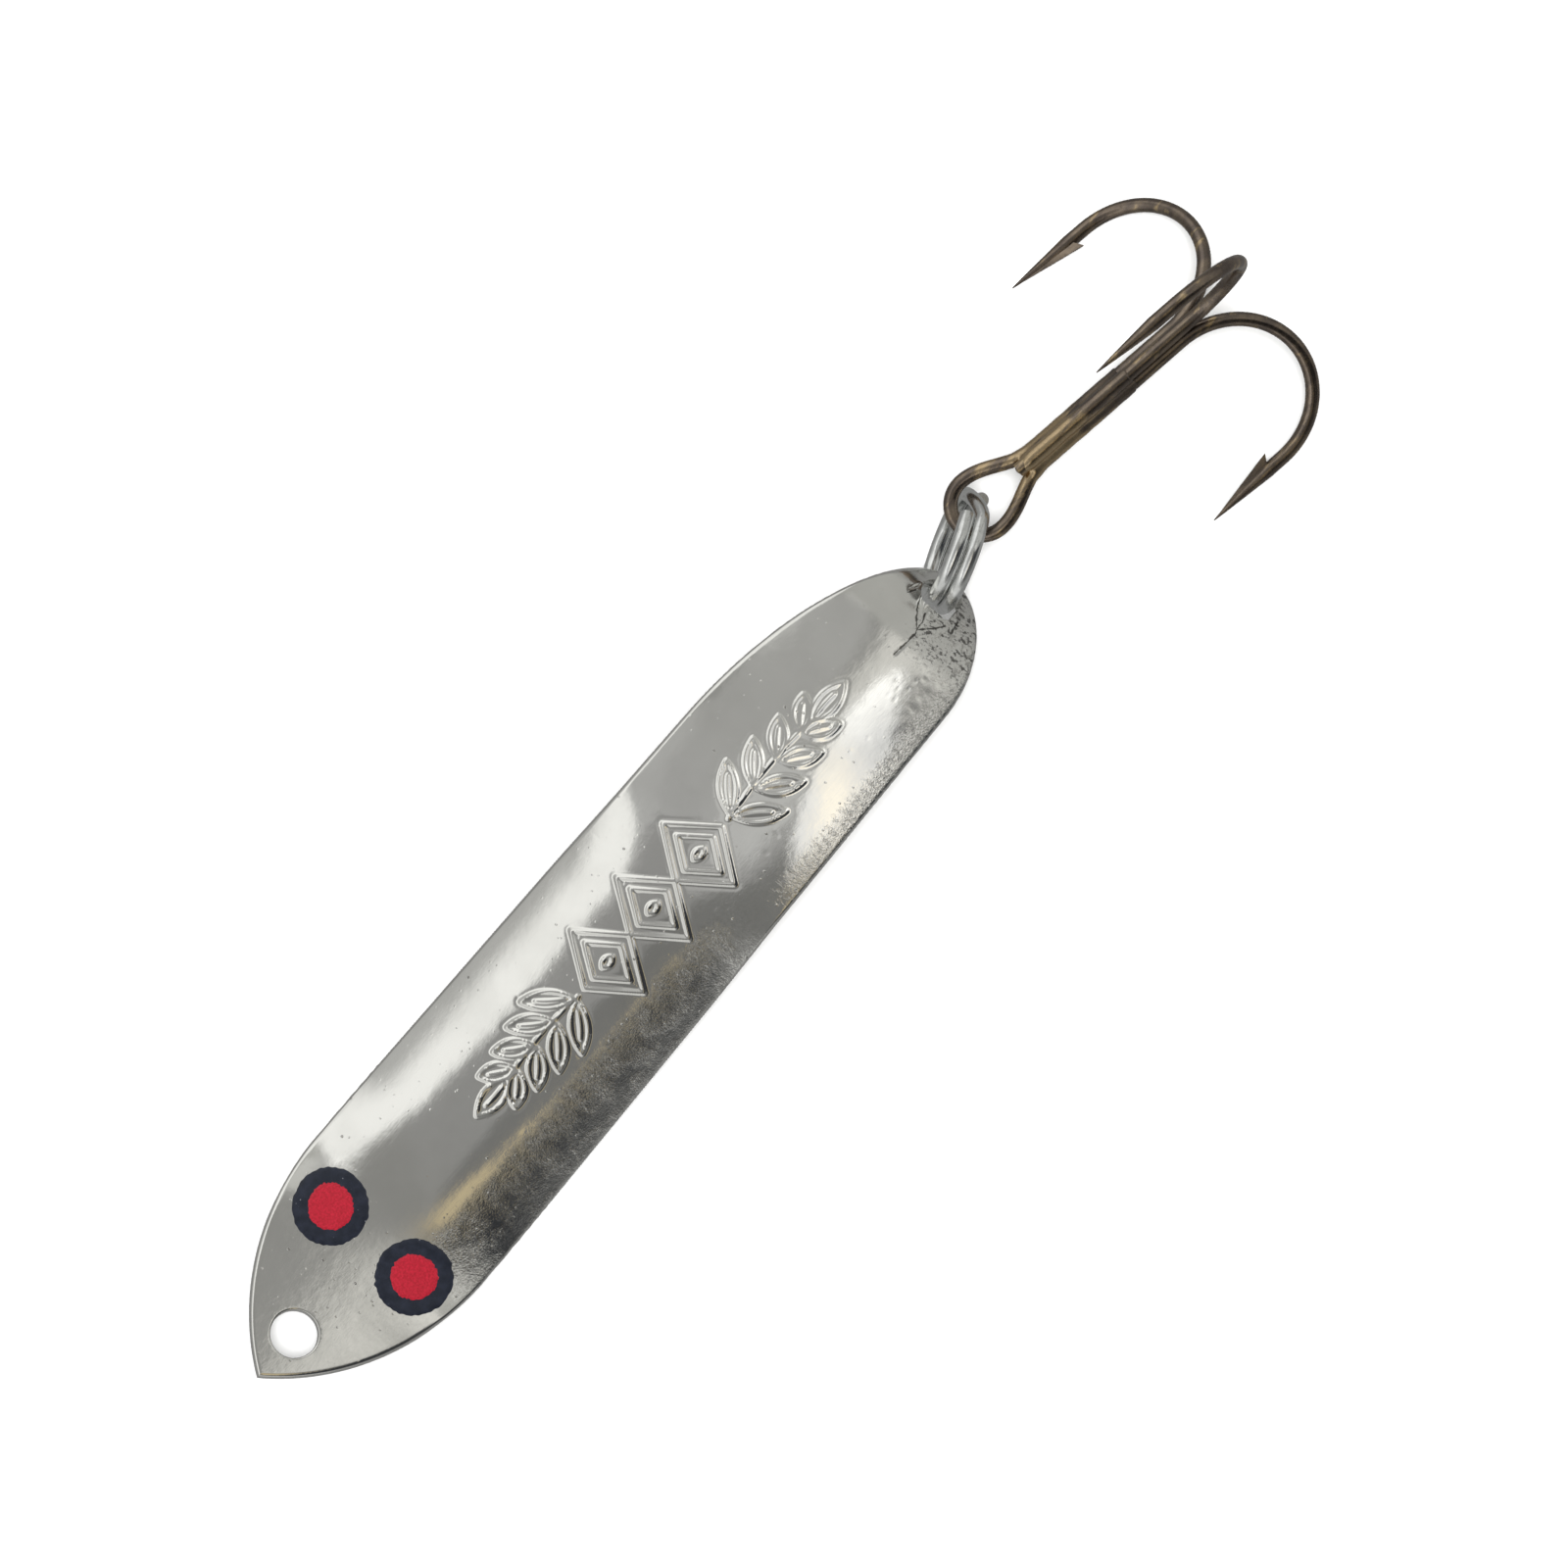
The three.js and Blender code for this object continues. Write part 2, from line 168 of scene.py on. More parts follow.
def sheet_point(x, y, offset):
    """Points that lie "offset" above the middle surface, as an array of rows."""
    x, y, offset = (np.asarray(v, float) for v in (x, y, offset))
    height = np.interp(x, SPINE_X, SPINE_Z) - camber(x) * y**2 / 2
    along = np.tan(spine_slope(x)) - camber_slope(x) * y**2 / 2
    across = -camber(x) * y
    normal = np.stack(np.broadcast_arrays(-along, -across, 1.0), -1)
    normal = normal / np.linalg.norm(normal, axis=-1, keepdims=True)
    middle = np.stack(np.broadcast_arrays(x, y, height), -1)
    return middle + normal * offset[..., None]


# ---- Meshes ----------------------------------------------------------------


def mesh_object(name, points, faces, place=None):
    """An object from points in millimetres, moved to the row frame."""
    points = np.asarray(points, float)
    if place is not None:
        points = points @ np.array(place.to_3x3()).T + np.array(place.translation)
    mesh = bpy.data.meshes.new(name)
    mesh.from_pydata((points * MM + SHIFT).tolist(), [], faces)
    mesh.validate()
    obj = bpy.data.objects.new(name, mesh)
    bpy.context.scene.collection.objects.link(obj)
    return obj


def clean(obj, sharp=35 * DEG):
    """Merges doubled points, turns the faces outward and shades them smooth."""
    bm = bmesh.new()
    bm.from_mesh(obj.data)
    bmesh.ops.remove_doubles(bm, verts=bm.verts, dist=1e-7)
    bmesh.ops.dissolve_degenerate(bm, edges=bm.edges, dist=1e-8)
    bmesh.ops.recalc_face_normals(bm, faces=bm.faces)
    bm.to_mesh(obj.data)
    bm.free()
    obj.data.polygons.foreach_set("use_smooth", [True] * len(obj.data.polygons))
    obj.data.set_sharp_from_angle(angle=sharp)
    return obj


def combine(obj, other, operation):
    """Adds or cuts the other object, which is used up."""
    change = obj.modifiers.new("combine", "BOOLEAN")
    change.operation = operation
    change.solver = "MANIFOLD"
    change.object = other
    depsgraph = bpy.context.evaluated_depsgraph_get()
    result = bpy.data.meshes.new_from_object(obj.evaluated_get(depsgraph))
    obj.modifiers.clear()
    obj.data = result
    bpy.data.objects.remove(other)


def grid_faces(rows, columns, first=0, flip=False):
    """Quads over a grid of points stored row by row."""
    i, j = np.meshgrid(np.arange(rows - 1), np.arange(columns - 1), indexing="ij")
    a = (first + i * columns + j).ravel()
    quads = np.stack([a, a + columns, a + columns + 1, a + 1], -1)
    return (quads[:, ::-1] if flip else quads).tolist()


def sweep(centres, radii, sides):
    """Points and faces of round wire along centres, with a radius at each."""
    centres = np.asarray(centres, float)
    tangent = np.gradient(centres, axis=0)
    tangent /= np.linalg.norm(tangent, axis=1, keepdims=True)
    seed = np.array([0.0, 0.0, 1.0]) if abs(tangent[0, 2]) < 0.9 else np.array([0.0, 1.0, 0.0])
    side = np.cross(tangent[0], seed)
    frames = []
    for t in tangent:
        side = side - t * np.dot(side, t)
        side /= np.linalg.norm(side)
        frames.append((side, np.cross(t, side)))
    angle = np.arange(sides) * 2 * math.pi / sides
    points = []
    for centre, radius, (u, v) in zip(centres, radii, frames):
        points.append(centre + radius * (np.outer(np.cos(angle), u) + np.outer(np.sin(angle), v)))
    faces = []
    for i in range(len(centres) - 1):
        for j in range(sides):
            k = (j + 1) % sides
            faces.append((i * sides + j, i * sides + k, (i + 1) * sides + k, (i + 1) * sides + j))
    last = (len(centres) - 1) * sides
    faces.append(tuple(reversed(range(sides))))
    faces.append(tuple(range(last, last + sides)))
    return np.concatenate(points), faces


def cut_end(centres, radii, inset=0.06):
    """Rounds the corners of both cut ends of a wire with one small chamfer each."""
    centres = [np.asarray(c, float) for c in centres]
    radii = list(radii)
    for at, step in ((0, 1), (-1, -1)):
        direction = centres[at + step] - centres[at]
        direction = direction / np.linalg.norm(direction)
        centres[at + step] = centres[at] + direction * inset
        radii[at] = radii[at] - inset
    return centres, radii


# ---- Ornament --------------------------------------------------------------


def arc_between(a, b, bulge, count=14):
    """Points of a shallow arc from a to b that swells to one side by bulge."""
    a, b = np.asarray(a, float), np.asarray(b, float)
    t = np.linspace(0, 1, count)[:, None]
    across = np.array([-(b - a)[1], (b - a)[0]]) / np.linalg.norm(b - a)
    return a + (b - a) * t + across * bulge * 4 * t * (1 - t)


def leaf(base, angle, length, width):
    """The two edges and the vein of a pointed leaf."""
    base = np.asarray(base, float)
    tip = base + length * np.array([math.cos(angle), math.sin(angle)])
    vein_end = base + 0.72 * (tip - base)
    return [
        arc_between(base, tip, width / 2),
        arc_between(base, tip, -width / 2),
        arc_between(base + 0.16 * (tip - base), vein_end, 0.02 * length, 8),
    ]


def ornament_lines():
    """A leaf spray at each end and a row of nested lozenges between them."""
    lines = []
    for tip_x, root_x, way in ((22.6, 33.2, -1), (60.2, 48.6, 1)):
        stem_y = 0.1
        lines.append(arc_between((root_x, stem_y), (tip_x - way * 3.2, stem_y), 0.25 * way))
        lines += leaf((tip_x - way * 3.4, stem_y), 0 if way > 0 else math.pi, 3.4, 1.3)
        reach = abs(tip_x - root_x) - 3.6
        for i in range(4):
            x = root_x + way * (0.3 + reach * i / 3.4)
            size = 3.5 - 0.35 * i
            for side in (1, -1):
                angle = (0 if way > 0 else math.pi) + side * way * (44 - 3 * i) * DEG
                lines += leaf((x, stem_y + 0.12 * side), angle, size, 1.15)
    for i, centre in enumerate((36.2, 40.9, 45.6)):
        for reach in (2.35, 1.45):
            tall = 1.3 * reach
            corners = [(centre - reach, 0.1), (centre, 0.1 + tall), (centre + reach, 0.1)]
            corners += [(centre, 0.1 - tall), (centre - reach, 0.1)]
            lines.append(np.array(corners))
        lines.append(arc_between((centre - 0.5, 0.1), (centre + 0.5, 0.1), 0.28, 8))
        lines.append(arc_between((centre - 0.5, 0.1), (centre + 0.5, 0.1), -0.28, 8))
    return lines


def distance_to(lines, x, y):
    """Distance from each (x, y) to the nearest of the lines, 9 where there is none."""
    nearest = np.full(x.shape, 9.0)
    for line in lines:
        low, high = line.min(0) - 0.6, line.max(0) + 0.6
        near = (x > low[0]) & (x < high[0]) & (y > low[1]) & (y < high[1])
        if not near.any():
            continue
        p = np.stack([x[near], y[near]], -1)
        best = np.full(len(p), 9.0)
        for a, b in zip(line[:-1], line[1:]):
            along = b - a
            t = np.clip(((p - a) @ along) / (along @ along), 0, 1)
            best = np.minimum(best, np.linalg.norm(p - a - t[:, None] * along, axis=1))
        nearest[near] = np.minimum(nearest[near], best)
    return nearest


LINE_WIDTH = 0.3
LINE_HEIGHT = 0.095


def relief(x, y):
    """Height of the raised ornament, with the shallow sunk border of a struck line."""
    away = distance_to(ornament_lines(), x, y) / LINE_WIDTH
    ridge = np.exp(-((away / 0.42) ** 2))
    trough = np.exp(-(((away - 0.95) / 0.32) ** 2))
    height = LINE_HEIGHT * (1 - 0.55 * ease(x, 48, 60))
    return height * (ridge - 0.2 * trough)


def pits(x, y):
    """Shallow pits of flaked plating: round the tail hole and along the right side."""
    places = [(rng.uniform(61.5, 69.0), rng.normal(-4.2, 1.2)) for _ in range(60)]
    places += [(px, -6.3 + 0.08 * max(0, px - 50)) for px in rng.uniform(47, 66, 50)]
    places += [(rng.uniform(12, 50), rng.uniform(-6.9, -2.6)) for _ in range(90)]
    places += [(rng.uniform(10, 60), rng.uniform(-6, 6.5)) for _ in range(40)]
    depth = np.zeros(x.shape)
    for px, py in places:
        size = rng.uniform(0.09, 0.2)
        squeeze = rng.uniform(0.6, 1.6)
        strength = rng.uniform(0.004, 0.016)
        near = (abs(x - px) < 3 * size) & (abs(y - py) < 3 * size)
        gap = np.hypot((x[near] - px) * squeeze, (y[near] - py) / squeeze) / size
        depth[near] += strength * np.exp(-(gap**2) * 1.5)
    return depth


# The sheet is creased where the ring has dragged on it, round the nose side of the hole:
# the points of each crease and its depth
CREASES = (
    (((63.8, -1.22), (65.0, -1.36), (66.1, -1.36)), 0.02),
    (((66.1, -1.36), (66.7, -0.75), (67.4, -0.3), (68.3, 0.0)), 0.05),
    (((66.1, -1.36), (66.7, -1.25), (67.3, -1.1)), 0.05),
    (((66.1, -1.36), (66.9, -2.1), (67.5, -2.6)), 0.03),
    (((67.6, 0.75), (68.1, 0.5)), 0.045),
    (((67.3, -3.2), (68.3, -3.05)), 0.035),
)


def crease_runs():
    """Each straight run of the creases: its two ends and its depth."""
    for points, deep in CREASES:
        for a, b in zip(points[:-1], points[1:]):
            yield np.array(a), np.array(b), deep


def creases(x, y):
    """Depth of the creases, with a raised lip on both sides."""
    depth = np.zeros(x.shape)
    for a, b, deep in crease_runs():
        near = (x > a[0] - 0.8) & (x < b[0] + 0.8)
        p = np.stack([x[near], y[near]], -1) - a
        share = np.clip(p @ (b - a) / ((b - a) @ (b - a)), 0, 1)
        away = np.linalg.norm(p - share[:, None] * (b - a), axis=1)
        lips = np.exp(-((away / 0.13) ** 2)) - 0.5 * np.exp(-(((away - 0.34) / 0.16) ** 2))
        depth[near] = np.maximum(depth[near], deep * lips)
    return depth


# ---- Blade piece -----------------------------------------------------------


def outline_points(count=1600):
    """Dense points round the blade's outline in plan."""
    t = np.linspace(0, math.pi, count)
    x = LENGTH * (1 - np.cos(t)) / 2
    left = np.stack([x, edge_y(x, 1)], -1)
    right = np.stack([x, edge_y(x, -1)], -1)
    return np.concatenate([left, right[::-1]])


def distance_to_outline(x, y, limit=0.6):
    """Distance of each (x, y) from the outline, for those nearer than the limit."""
    outline = outline_points()
    tree = KDTree(len(outline))
    for i, (px, py) in enumerate(outline):
        tree.insert((px, py, 0), i)
    tree.balance()
    distance = np.full(x.shape, limit)
    for i, (px, py) in enumerate(zip(x, y)):
        distance[i] = min(limit, tree.find((px, py, 0))[2])
    return distance


def rounded_drop(distance, radius):
    """How far a rounded edge has fallen at a distance in from the outline."""
    inside = np.clip(radius - distance, 0, radius)
    return radius - np.sqrt(radius**2 - inside**2)


def blade_grid(middle_cells):
    """Plan positions of a grid over the blade, closed up towards its outline."""
    nose = NOSE_GRID_TO * (1 - np.cos(np.linspace(0, math.pi / 2, 96)[:-1]))
    body = np.linspace(NOSE_GRID_TO, TAIL_GRID_FROM, 402)[:-1]
    tail_span = LENGTH - TAIL_GRID_FROM
    tail = TAIL_GRID_FROM + tail_span * np.sin(np.linspace(0, math.pi / 2, 90))
    x = np.concatenate([nose, body, tail])
    near = np.array([0, 0.02, 0.05, 0.09, 0.14, 0.2, 0.28, 0.4])
    width = np.maximum(edge_y(x, 1) - edge_y(x, -1), 1e-9)
    share = np.arange(len(near)) / len(near)
    edge = np.minimum(near[None, :] / width[:, None], 0.22 * share[None, :])
    mid = middle_cells[None, :] * np.ones((len(x), 1))
    start = edge[:, -1:]
    mid = start + (1 - 2 * start) * mid
    across = np.concatenate([edge, mid, 1 - edge[:, ::-1]], 1)
    y = edge_y(x, -1)[:, None] + width[:, None] * across
    return np.repeat(x[:, None], across.shape[1], 1), y


def blade_sheet():
    """The closed sheet: a fine top, a coarser underside and the wall between."""
    outer = np.linspace(0, 0.2, 12)[1:]
    cells = np.concatenate([outer, np.linspace(0.2, 0.8, 80)[1:-1], 1 - outer[::-1]])
    top_x, top_y = blade_grid(cells)
    low_x, low_y = blade_grid(np.linspace(0, 1, 16)[1:-1])
    rows = top_x.shape[0]

    def layer(x, y, side, radius, extra):
        flat_x, flat_y = x.ravel(), y.ravel()
        distance = distance_to_outline(flat_x, flat_y)
        offset = SHEET / 2 - rounded_drop(distance, radius) + extra(flat_x, flat_y)
        return sheet_point(flat_x, flat_y, side * offset)

    def struck(x, y):
        return relief(x, y) - pits(x, y) - creases(x, y)

    top = layer(top_x, top_y, 1, TOP_ROUND, struck)
    low = layer(low_x, low_y, -1, BOTTOM_ROUND, lambda x, y: 0 * x)
    columns, low_columns = top_x.shape[1], low_x.shape[1]
    faces = grid_faces(rows, columns) + grid_faces(rows, low_columns, len(top), True)
    for i in range(rows - 1):
        a, b = i * columns, (i + 1) * columns
        c, d = len(top) + i * low_columns, len(top) + (i + 1) * low_columns
        faces.append((a, b, d, c))
        shift, low_shift = columns - 1, low_columns - 1
        faces.append((a + shift, c + low_shift, d + low_shift, b + shift))
    return np.concatenate([top, low]), faces


def hole_cutter(name, x, y, radius, nose_reach, right_reach):
    """A bar square to the sheet that flares at both faces, so the rim is rounded."""
    half_length = 1.25
    rim_steps = 6
    profile = [(0, -half_length), (radius + RIM, -half_length), (radius + RIM, -SHEET / 2)]
    for i in range(1, rim_steps + 1):
        angle = math.pi / 2 * i / rim_steps
        flare = RIM * (1 - math.sin(angle))
        profile.append((radius + flare, -SHEET / 2 + RIM * (1 - math.cos(angle))))
    profile += [(r, -z) for r, z in reversed(profile)]
    sides = 72
    here = sheet_point(x, y, 0.0)
    up = sheet_point(x, y, 1.0) - here
    u = np.cross([0.0, 1.0, 0.0], up)
    u /= np.linalg.norm(u)
    v = np.cross(up, u)
    points = []
    for r, z in profile:
        for j in range(sides):
            angle = 2 * math.pi * j / sides
            ahead = max(r * math.cos(angle), radius - nose_reach - r)
            aside = max(r * math.sin(angle), radius - right_reach - r)
            points.append(here + up * z + u * ahead + v * aside)
    faces = []
    for i in range(len(profile) - 1):
        for j in range(sides):
            k = (j + 1) % sides
            a, b = i * sides, (i + 1) * sides
            faces.append((a + j, a + k, b + k, b + j))
    return clean(mesh_object(name, points, faces))


def make_blade():
    points, faces = blade_sheet()
    obj = clean(mesh_object("blade_plate", points, faces))
    for i, hole in enumerate(HOLES):
        combine(obj, hole_cutter(f"cutter_{i}", *hole), "DIFFERENCE")
    return clean(obj, 32 * DEG)


# ---- Eye paint -------------------------------------------------------------


def paint_disc(name, side, radius, low, high, ragged):
    """A hand-dabbed disc of paint that follows the sheet, with an uneven edge."""
    rings, sides = 14, 180
    angle = np.arange(sides) * 2 * math.pi / sides
    edge = np.ones(sides)
    for wave in range(2, 40):
        edge += ragged / wave**0.35 * rng.normal() * np.cos(wave * angle + rng.uniform(0, 6.3))
    points = [sheet_point(EYE_X, side * EYE_Y, SHEET / 2 + high)[None, :]]
    for i in range(1, rings + 1):
        share = i / rings
        reach = radius * share * (1 + (edge - 1) * share**2)
        fall = (high - low) * max(0.0, (share - 0.9) / 0.1) ** 2
        swell = 0.012 * math.sin(math.pi * share)
        x = EYE_X + reach * np.cos(angle)
        y = side * EYE_Y + reach * np.sin(angle)
        points.append(sheet_point(x, y, SHEET / 2 + high - fall + swell + 0 * x))
    points.append(sheet_point(EYE_X, side * EYE_Y, SHEET / 2 + low - 0.04)[None, :])
    x = EYE_X + radius * edge * np.cos(angle)
    y = side * EYE_Y + radius * edge * np.sin(angle)
    points.append(sheet_point(x, y, SHEET / 2 + low - 0.04 + 0 * x))
    faces = []
    for j in range(sides):
        k = (j + 1) % sides
        faces.append((0, 1 + j, 1 + k))
        for i in range(rings - 1):
            a, b = 1 + i * sides, 1 + (i + 1) * sides
            faces.append((a + j, b + j, b + k, a + k))
        top = 1 + (rings - 1) * sides
        centre = 1 + rings * sides
        low_ring = centre + 1
        faces.append((top + j, low_ring + j, low_ring + k, top + k))
        faces.append((centre, low_ring + k, low_ring + j))
    return clean(mesh_object(name, np.concatenate(points), faces), 50 * DEG)


# ---- Split ring ------------------------------------------------------------


def ring_place():
    turn = Matrix.Rotation(RING_YAW, 4, "Z") @ Matrix.Rotation(RING_LEAN, 4, "X")
    web = turn @ (Vector((-math.cos(WEB_BELOW), 0, -math.sin(WEB_BELOW))) * WEB_OFFSET)
    at = Vector(sheet_point(*WEB, 0.0)) - web
    return Matrix.Translation(at) @ turn


def make_ring():
    """Two turns of wire side by side, with one step over between them."""
    radius = (RING_OUTER - RING_WIRE) / 2
    turned = np.linspace(0, 4 * math.pi - RING_STEP_SPAN, 300)
    stepped = ease(turned, 2 * math.pi - RING_STEP_SPAN, 2 * math.pi)
    angle = RING_STEP_AT + turned
    side = (RING_WIRE + RING_COIL_GAP) * (0.5 - stepped)
    centres = np.stack([radius * np.cos(angle), side, radius * np.sin(angle)], -1)
    centres, radii = cut_end(centres, [RING_WIRE / 2] * len(centres))
    points, faces = sweep(centres, radii, 28)
    return clean(mesh_object("ring_wire", points, faces, ring_place()))


# ---- Treble hook -----------------------------------------------------------


def hook_place():
    turn = Matrix.Rotation(HOOK_YAW, 4, "Z")
    turn = turn @ Matrix.Rotation(-HOOK_PITCH, 4, "Y") @ Matrix.Rotation(-HOOK_ROLL, 4, "X")
    return Matrix.Translation(Vector(HOOK_AT)) @ turn


def in_hook_plane(spread, along, out, aside=0.0):
    y = out * math.sin(spread) - aside * math.cos(spread)
    z = out * math.cos(spread) + aside * math.sin(spread)
    return np.array([along, y, z])


def hook_line(spread, start, shift=0.0):
    """Centres along one hook: its shank, its bend and its spear, to the point."""
    points = []
    bend_at = BEND_START + shift
    for along in np.linspace(start, bend_at, 60)[:-1]:
        points.append(in_hook_plane(spread, along, SHANK_OFFSET))
    for angle in np.linspace(0, math.pi, 110)[:-1]:
        along = bend_at + BEND_RADIUS * math.sin(angle)
        out = SHANK_OFFSET + BEND_RADIUS * (1 - math.cos(angle))
        points.append(in_hook_plane(spread, along, out))
    for share in np.linspace(0, 1, 70):
        along = bend_at + (SPEAR_POINT - BEND_START) * share
        out = SHANK_OFFSET + 2 * BEND_RADIUS + SPEAR_RISE * share**1.5
        points.append(in_hook_plane(spread, along, out))
    return np.array(points)


def eye_line(side):
    """Centres along half of the pear-shaped eye, from the neck to its front."""
    neck = in_hook_plane(side * SPREAD, EYE_NECK, SHANK_OFFSET)
    points = []
    for share in np.linspace(0, 1, 50)[:-1]:
        swell = (1 - math.cos(math.pi * share)) / 2
        along = EYE_NECK + (EYE_CENTRE - EYE_NECK) * share
        y = abs(neck[1]) + (EYE_RADIUS - abs(neck[1])) * swell
        points.append((along, side * y, neck[2]))
    for angle in np.linspace(0, math.pi / 2, 40)[:-1]:
        along = EYE_CENTRE - EYE_RADIUS * math.sin(angle)
        points.append((along, side * EYE_RADIUS * math.cos(angle), neck[2]))
    return np.array(points)


def spear_radii(centres, both):
    """Radius at each centre: full wire, then a slightly hollow taper to the point."""
    steps = np.linalg.norm(np.diff(centres, axis=0), axis=1)
    before = np.concatenate([[0.0], np.cumsum(steps)])
    to_point = before[-1] - before
    if both:
        to_point = np.minimum(to_point, before)
    share = np.clip(to_point / SPEAR_LENGTH, 0, 1)
    return 0.03 + (HOOK_WIRE / 2 - 0.03) * share**0.85


def barb(name, spread, shift):
    """The sliver raised from the inner side of the spear, sharp along its edge."""
    wire_out = SHANK_OFFSET + 2 * BEND_RADIUS
    point_out = wire_out + SPEAR_RISE
    start = SPEAR_POINT + 0.9
    stations = 16
    points = []
    for i in range(stations + 1):
        share = i / stations
        along = start + (BARB_TIP - start) * share
        root_along = start + (BARB_BACK - 0.15 - start) * share
        fall = (along - SPEAR_POINT) / (BARB_TIP - SPEAR_POINT)
        edge_out = point_out + (wire_out - BARB_LIFT - point_out) * fall
        root = wire_out + SPEAR_RISE * (1 - share) * 0.6
        thick = 0.05 + 0.24 * math.sin(math.pi * min(1, share * 1.1) / 2)
        lip = 0.02 + 0.03 * share
        for aside in (-thick, thick):
            points.append(in_hook_plane(spread, root_along + shift, root, aside))
        middle = (root + edge_out) / 2
        mid_along = (along + root_along) / 2
        points.append(in_hook_plane(spread, mid_along + shift, middle, 0.62 * thick))
        for aside in (lip, -lip):
            points.append(in_hook_plane(spread, along + shift, edge_out, aside))
        points.append(in_hook_plane(spread, mid_along + shift, middle, -0.62 * thick))
    faces = []
    for i in range(stations):
        for j in range(6):
            k = (j + 1) % 6
            faces.append((i * 6 + j, i * 6 + k, (i + 1) * 6 + k, (i + 1) * 6 + j))
    faces.append(tuple(reversed(range(6))))
    faces.append(tuple(range(stations * 6, stations * 6 + 6)))
    return clean(mesh_object(name, points, faces, hook_place()))


def make_hook_pair():
    halves = []
    for side in (1, -1):
        hook = hook_line(side * SPREAD, EYE_NECK)[::-1]
        halves.append(np.concatenate([hook[:-1], eye_line(side)]))
    front_z = in_hook_plane(SPREAD, 0, SHANK_OFFSET)[2]
    front = np.array([[EYE_CENTRE - EYE_RADIUS, 0, front_z]])
    centres = np.concatenate([halves[0], front, halves[1][::-1]])
    points, faces = sweep(centres, spear_radii(centres, True), 26)
    obj = clean(mesh_object("hook_double_wire", points, faces, hook_place()))
    for side in (1, -1):
        combine(obj, barb(f"barb_{side}", side * SPREAD, 0.0), "UNION")
    return clean(obj)


def make_hook_single():
    centres = hook_line(0.0, SINGLE_START, SINGLE_SHIFT)
    radii = spear_radii(centres, False)
    direction = centres[1] - centres[0]
    inset = 0.12
    centres = np.concatenate([centres[:1], centres[:1] + direction * inset, centres[1:]])
    radii = np.concatenate([[HOOK_WIRE / 2 - 0.06], radii[:1], radii[1:]])
    points, faces = sweep(centres, radii, 26)
    obj = clean(mesh_object("hook_third_wire", points, faces, hook_place()))
    combine(obj, barb("barb_top", 0.0, SINGLE_SHIFT), "UNION")
    return clean(obj)


def smooth_least(a, b, blend):
    """The lesser of two distances, rounded off where they are within the blend."""
    share = np.clip(0.5 + 0.5 * (b - a) / blend, 0, 1)
    return b + (a - b) * share - blend * share * (1 - share)


def leg_distance(x, y, z, side):
    """Distance to the middle of one shank of the pair, or of the eye's leg before it."""
    level = SHANK_OFFSET * math.cos(SPREAD)
    near = SHANK_OFFSET * math.sin(SPREAD)
    share = np.clip((EYE_NECK - x) / (EYE_NECK - EYE_CENTRE), 0, 1)
    centre = near + (EYE_RADIUS - near) * (1 - np.cos(math.pi * share)) / 2
    steep = (EYE_RADIUS - near) / (EYE_NECK - EYE_CENTRE) * np.sin(math.pi * share) * math.pi / 2
    across = (side * y - centre) / np.sqrt(1 + steep**2)
    return np.hypot(across, z - level)


def braze_field(x, y, z):
    """Below zero inside the braze: a skin blended over the three shanks."""
    swing = np.arctan2(y, z)
    front = 3.55 + 0.12 * np.sin(2 * swing + 1) + 0.1 * np.sin(5 * swing)
    back = BRAZE_TO - 0.35 + 0.3 * np.sin(swing + 2.2) + 0.12 * np.sin(4 * swing)
    cover = ease(x - front, -0.25, 1.1) * ease(back - x, -0.12, 0.16)
    lumps = np.sin(2.3 * x + 3 * swing) * np.cos(1.1 * x - 2 * swing) + 0.6 * np.sin(4.9 * x + swing)
    coat = 0.17 * cover - 0.1 + 0.009 * lumps * cover
    third = np.hypot(np.clip(3.8 - x, 0, None), np.hypot(y, z - SHANK_OFFSET))
    blend = 0.03 + 0.42 * cover
    both = smooth_least(leg_distance(x, y, z, 1), leg_distance(x, y, z, -1), blend + 0.15 * cover)
    metal = smooth_least(both, third, blend) - HOOK_WIRE / 2 - coat
    return np.maximum(metal, np.maximum(3.05 - x, x - BRAZE_TO))


